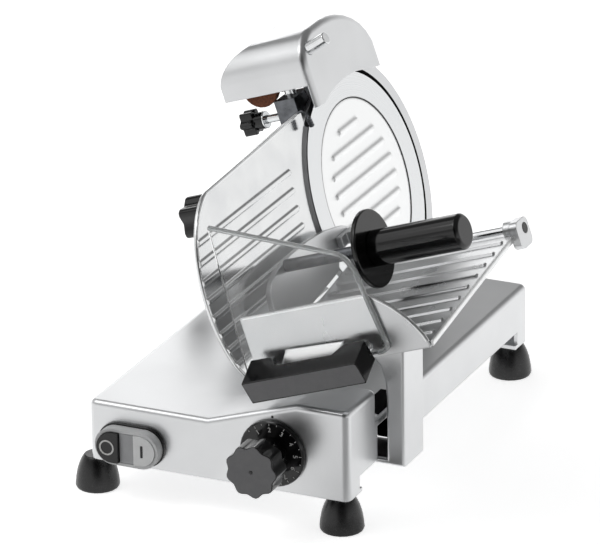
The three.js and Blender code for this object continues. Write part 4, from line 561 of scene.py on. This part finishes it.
def knob_face():
    """The knob's flat face: a lobed pad in the lit copy of the black ABS, painted light, with a small
    moulding pip sunk in its middle.
    """
    steps = KNOB_LOBES * 10
    mesh = bmesh.new()
    rings = []
    for share, height in ((0.05, -0.7), (0.07, 0.3), (0.5, 0.4), (0.955, 0.4), (0.97, 0.3), (0.97, -0.4)):
        ring = []
        for i in range(steps):
            angle = 2 * math.pi * i / steps
            lobe = KNOB_LOBE_DEPTH * (1 - math.cos(KNOB_LOBES * angle)) / 2 * min(1, share * 1.2)
            radius = KNOB_RADIUS * share - lobe
            if share < 0.1:
                radius = KNOB_RADIUS * share
            ring.append(mesh.verts.new((radius * math.cos(angle), radius * math.sin(angle), height)))
        rings.append(ring)
    for low, high in zip(rings, rings[1:]):
        for i in range(steps):
            k = (i + 1) % steps
            mesh.faces.new([low[i], low[k], high[k], high[i]])
    mesh.faces.new(rings[0])
    mesh.faces.new(rings[-1])
    place = facing_front(DIAL_CENTRE[0], KNOB_FRONT, DIAL_CENTRE[1])
    put("knob_face", mesh, LEVEL @ place, FRONT_LIT_BLACK, "thickness_knob")
    pip = turned([(0, 0.7), (1.5, 0.65), (1.9, 0.4), (1.9, -0.5), (0, -0.6)], 24)
    put("knob_pip", pip, LEVEL @ place, BLACK, "thickness_knob")


# Textured pad on the front of the handle's bar, in the lit copy of the black ABS: painted light on
# the face that looks to the front

def handle_face():
    outline = [(25.2, -85.6), (141.2, -85.6), (142.2, -84.6), (137.9, -68.4), (136.4, -67.4), (20.4, -67.4),
               (19.4, -68.4), (24.0, -84.6)]
    front, back = HANDLE_FRONT - 0.05, HANDLE_FRONT + 0.6
    mesh = slab([(n, front, u) for n, u in outline], [(n, back, u) for n, u in outline])
    put("handle_face", mesh, TILTED, FRONT_LIT_BLACK, "carriage", 0.2)


# Rolled edges of the gauge plate and the tray's near wall, the tray's sheet edge and the guard's edge

def rolled_edges():
    depth = -5.3
    near = curve_points((depth, -283, 92.5), (depth, -319.5, 82), (depth, -341.4, 40), (depth, -341.4, 0))
    low = curve_points((depth, -341.4, 0), (depth, -341.4, -50), (depth, -315, -93.2), (depth, -276, -93.2))
    rim = bent_rod([(depth, -76, 99), *near, *low[1:]], 2.3, 12)
    put("gauge_rolled_edge", rim, TILTED, POLISHED, "gauge")
    y = TRAY_NEAR_EDGE
    wall = curve_points((143, y, -19), (163, y, -28), (185.5, y, -53.5), (190, y, -72))
    rim = bent_rod([(15, y, -19), *wall], 2.1, 12)
    put("tray_rolled_edge", rim, TILTED, POLISHED, "carriage")
    # The sheet's edge is drawn in the near-white brightened aluminium: a painted highlight along it.
    edge = [(TRAY_NEAR_EDGE, -77), (TRAY_NEAR_EDGE, -71.6), (-110, -45.6), (-110, -51)]
    mesh = slab([(194.8, y, u) for y, u in edge], [(192.6, y, u) for y, u in edge])
    put("tray_sheet_edge", mesh, TILTED, BRIGHT, "carriage", 0.6)


def guard_edge():
    y = GUARD_MIDDLE
    shoulder = curve_points((129, y, 26.6), (138, y, 22), (142, y, 17), (144.4, y, 4), 8)
    right = curve_points((144.4, y, 4), (147, y, -25), (150, y, -50), (152.5, y, -66), 6)
    foot = curve_points((152.5, y, -66), (152.5, y, -70), (148, y, -72.5), (141, y, -72.5), 5)
    path = [Vector((13.5, y, 72)).lerp(Vector((129, y, 26.6)), i / 6) for i in range(6)]
    rim = bent_rod([*path, *shoulder, *right[1:], *foot[1:]], 2.2, 12)
    put("guard_edge", rim, TILTED, ACRYLIC_EDGE, "carriage")


# Pin that hangs from the gauge plate's upper corner, to hold the plate for cleaning

def gauge_pin():
    bend = [(-4.5, -76, 100), (0, -77, 101.5), (3.5, -77, 99.5), (5, -76.7, 96.5), (5, -76.5, 93.8)]
    neck = bent_rod(bend, 1.2)
    barrel = [(2.8 if i % 2 else 2.3, 9.5 * i / 8) for i in range(9)]
    knurled = turned([(0, -0.4), (1.7, -0.3), *barrel, (1.7, 9.9), (0, 10)], 18)
    lean = Vector((0.1, 0.06, -0.98)).normalized().to_track_quat("Z", "Y").to_matrix().to_4x4()
    knurled.transform(Matrix.Translation((5, -76.5, 94.2)) @ lean)
    put("gauge_pin", joined([neck, knurled]), TILTED, OILED, "gauge")


# Grey wear strip along the gauge plate's curved edge, which rises towards the blade's edge

def gauge_lip():
    inner, outer = BLADE_RADIUS + 0.6, BLADE_RADIUS + 5
    section = ((inner, -5.5), (inner, -0.8), (inner + 0.7, -0.6), (outer, -3.2), (outer, -5.5))
    put("gauge_lip", arc_strip(section, 131, 231), TILTED, GREY, "gauge")


# Painted shade on the guard ring's inner wall

def ring_shade_strip():
    """A dead black strip on the inner wall of the guard ring: painted shade where the wall lies in shade."""
    inner, outer = RING_INNER - 2, RING_INNER + 0.1
    section = ((outer, -0.6), (inner, -0.6), (inner, -7.5), (outer, -7.5))
    put("ring_shade_strip", arc_strip(section, -110, 103), TILTED, SHADE_BLACK, "base")


# Dead black sheets where the carriage's arm enters the base: painted shade for the deep shadow in the
# slot, one on the shelf beside it and one behind the arm that rides with the carriage

def slot_shades():
    shelf = bar((22, 54, 0.6), Matrix.Translation((247.5, 101, 92.1)))
    put("slot_shade", shelf, LEVEL, SHADE_BLACK, "base")
    curtain = bar((26, 1.2, 37.5), Matrix.Translation((245, 117.5, 68.4)))
    put("arm_slot_shade", curtain, LEVEL, SHADE_BLACK, "carriage")


# Plate that clamps the clear guard between the handle's arms, with a face that leans forward at its foot

def guard_clamp():
    outline = [(44, -68.2), (94, -69.6), (101, -67), (110.5, -60), (113, -55), (52, -53)]
    front, back, top, lean = -331.6, -329.9, -53, 0.22
    mesh = slab([(n, front + (u - top) * lean, u) for n, u in outline], [(n, back, u) for n, u in outline])
    put("guard_clamp", mesh, TILTED, BRIGHT, "carriage", 0.4)


# Seal round the blade cover, rod end, washer and screw heads

def small_parts():
    inner, outer = COVER_RADIUS - 1.15, COVER_RADIUS
    seal = ring_of([(inner, 0), (outer, 0), (outer, 0.25), (inner, 0.25)], 96)
    put("cover_seal", seal, TILTED @ along_feed(COVER_FACE, 0, 0), RUBBER, "base")
    plug = turned([(0, 0.2), (3.4, 0.2), (4.2, 0.5), (5.0, 0.4), (5.2, 0), (0, -0.3)], 28)
    put("rod_end_plug", plug, TILTED @ along_feed(*PUSHER_ROD_END), RUBBER, "carriage")
    washer = ring_of([(4.2, 0), (8.5, 0), (8.5, 1.6), (4.2, 1.6)], 32)
    put("lock_washer", washer, TILTED @ along_feed(*LOCK_KNOB_FACE), CHROME, "lock_knob", 0.3)
    head = [(0, 1.0), (1.6, 1.0), (2.0, 2.1), (3.4, 2.0), (4.3, 1.2), (4.5, 0), (0, 0)]
    screws = []
    for y in (-50, 60):
        for u in (30, -70):
            screw = turned(head, 24)
            place = Matrix.Translation((HOUSING_BACK, y, u))
            screw.transform(place @ Matrix.Rotation(math.radians(-90), 4, "Y"))
            screws.append(screw)
    put("housing_screws", joined(screws), TILTED, CHROME, "base")
    screws = []
    for x in (16, 168):
        for y in (46, 212, 378):
            screw = turned(head, 24)
            place = Matrix.Translation((x, y, COVER_BOTTOM))
            screw.transform(place @ Matrix.Rotation(math.radians(180), 4, "X"))
            screws.append(screw)
    put("cover_screws", joined(screws), LEVEL, CHROME, "base")


switch_marks()
dial_scale()
knob_face()
handle_face()
rolled_edges()
guard_edge()
gauge_pin()
gauge_lip()
ring_shade_strip()
slot_shades()
guard_clamp()
small_parts()


# Stage: floor, lamps and camera

def floor():
    """White paper under the object. To the camera and through glass it is lifted evenly to the white of
    the room, and it keeps the object's shadow. In metal it shows a painted reflection, lighter towards
    the back and on the left."""
    mesh = bmesh.new()
    bmesh.ops.create_circle(mesh, cap_ends=True, segments=64, radius=4)
    sheet = bpy.data.meshes.new("floor")
    mesh.to_mesh(sheet)
    mesh.free()
    ground = bpy.data.objects.new("floor", sheet)
    bpy.context.scene.collection.objects.link(ground)
    material = bpy.data.materials.new("white_paper")
    material.use_nodes = True
    tree = material.node_tree
    tree.nodes.clear()
    path = node(tree, "ShaderNodeLightPath")
    place = node(tree, "ShaderNodeTexCoord")
    split = node(tree, "ShaderNodeSeparateXYZ", {"Vector": place.outputs["Object"]})
    # Painted reflection, seen only in glossy rays: lifted to 0.8 towards the back and, nearer the front, to
    # 0.56 on the left, fading to none towards the right.
    behind = node(tree, "ShaderNodeMapRange", {
        "Value": split.outputs["Y"], "From Min": -0.28, "From Max": -0.1, "To Min": 0.0, "To Max": 1.0,
    })
    aside = node(tree, "ShaderNodeMapRange", {
        "Value": split.outputs["X"], "From Min": 0.02, "From Max": 0.14, "To Min": 0.56, "To Max": 0.0,
    })
    sheen = node(tree, "ShaderNodeMix", {
        "Factor": behind.outputs["Result"], "A": aside.outputs["Result"], "B": 0.8,
    })
    mirrored = node(tree, "ShaderNodeMath", {
        0: path.outputs["Is Glossy Ray"], 1: sheen.outputs["Result"],
    }, operation="MULTIPLY")
    seen = node(tree, "ShaderNodeMath", {
        0: path.outputs["Is Camera Ray"], 1: path.outputs["Is Transmission Ray"],
    }, operation="MAXIMUM")
    direct = node(tree, "ShaderNodeMath", {0: seen.outputs[0], 1: 0.76}, operation="MULTIPLY")
    lift = node(tree, "ShaderNodeMath", {0: mirrored.outputs[0], 1: direct.outputs[0]}, operation="MAXIMUM")
    shader = node(tree, "ShaderNodeBsdfPrincipled", {
        "Base Color": linear("#F0F0F0"), "Roughness": 0.9, "Specular IOR Level": 0.0,
        "Emission Color": (1, 1, 1, 1), "Emission Strength": lift.outputs[0],
    })
    node(tree, "ShaderNodeOutputMaterial", {"Surface": shader.outputs["BSDF"]})
    sheet.materials.append(material)


def surroundings():
    """A white studio: bright walls all round, a dim ceiling and a dark curtain behind the camera."""
    world = bpy.data.worlds.new("white_room")
    bpy.context.scene.world = world
    world.use_nodes = True
    tree = world.node_tree
    tree.nodes.clear()
    place = node(tree, "ShaderNodeTexCoord")
    split = node(tree, "ShaderNodeSeparateXYZ", {"Vector": place.outputs["Generated"]})
    ceiling = node(tree, "ShaderNodeMapRange", {
        "Value": split.outputs["Z"], "From Min": 0.12, "From Max": 0.5, "To Min": 1.0, "To Max": 0.2,
    })
    towards = node(tree, "ShaderNodeVectorMath", {
        0: place.outputs["Generated"], 1: (0.39, -0.84, 0.373),
    }, operation="DOT_PRODUCT")
    curtain = node(tree, "ShaderNodeMapRange", {
        "Value": towards.outputs["Value"], "From Min": 0.80, "From Max": 0.95, "To Min": 1.0, "To Max": 0.12,
    })
    level = node(tree, "ShaderNodeMath", {
        0: ceiling.outputs["Result"], 1: curtain.outputs["Result"],
    }, operation="MULTIPLY")
    glow = node(tree, "ShaderNodeBackground", {"Color": (1, 1, 1, 1), "Strength": level.outputs[0]})
    node(tree, "ShaderNodeOutputWorld", {"Surface": glow.outputs[0]})


def lamp(name, place, aim, size, watts):
    data = bpy.data.lights.new(name, "AREA")
    data.shape = "RECTANGLE"
    data.size, data.size_y = size
    data.energy = watts
    holder = bpy.data.objects.new(name, data)
    holder.location = place
    holder.rotation_euler = (Vector(aim) - Vector(place)).to_track_quat("-Z", "Y").to_euler()
    bpy.context.scene.collection.objects.link(holder)


FOCAL_LENGTH_PIXELS, PICTURE_WIDTH_PIXELS = 6057.09, 600


def camera():
    """The photograph's view: a long lens from the front right, a little above."""
    place = LEVEL @ Vector((2356.675, -4604.953, 2296.701))
    aim = LEVEL @ Vector((135.03, 171.92, 177.37))
    roll = math.radians(-0.81)
    data = bpy.data.cameras.new("camera")
    data.sensor_fit = "HORIZONTAL"
    data.sensor_width = 36
    data.lens = FOCAL_LENGTH_PIXELS * data.sensor_width / PICTURE_WIDTH_PIXELS
    data.clip_end = 200
    holder = bpy.data.objects.new("camera", data)
    look = (aim - place).to_track_quat("-Z", "Y").to_matrix().to_4x4()
    holder.matrix_world = Matrix.Translation(place) @ look @ Matrix.Rotation(roll, 4, "Z")
    bpy.context.scene.collection.objects.link(holder)
    bpy.context.scene.camera = holder


floor()
surroundings()
lamp("key", (-0.74, 0.95, 0.6), (-0.1, -0.1, 0.1), (0.6, 0.6), 1.25)
lamp("top", (-1.3, -0.7, 2.0), (0, 0, 0.15), (2.4, 2.0), 13)
lamp("strip", (-0.66, -0.64, 1.45), (-0.05, -0.1, 0.1), (0.6, 0.5), 2.4)
camera()
bpy.context.scene.view_settings.view_transform = "Standard"
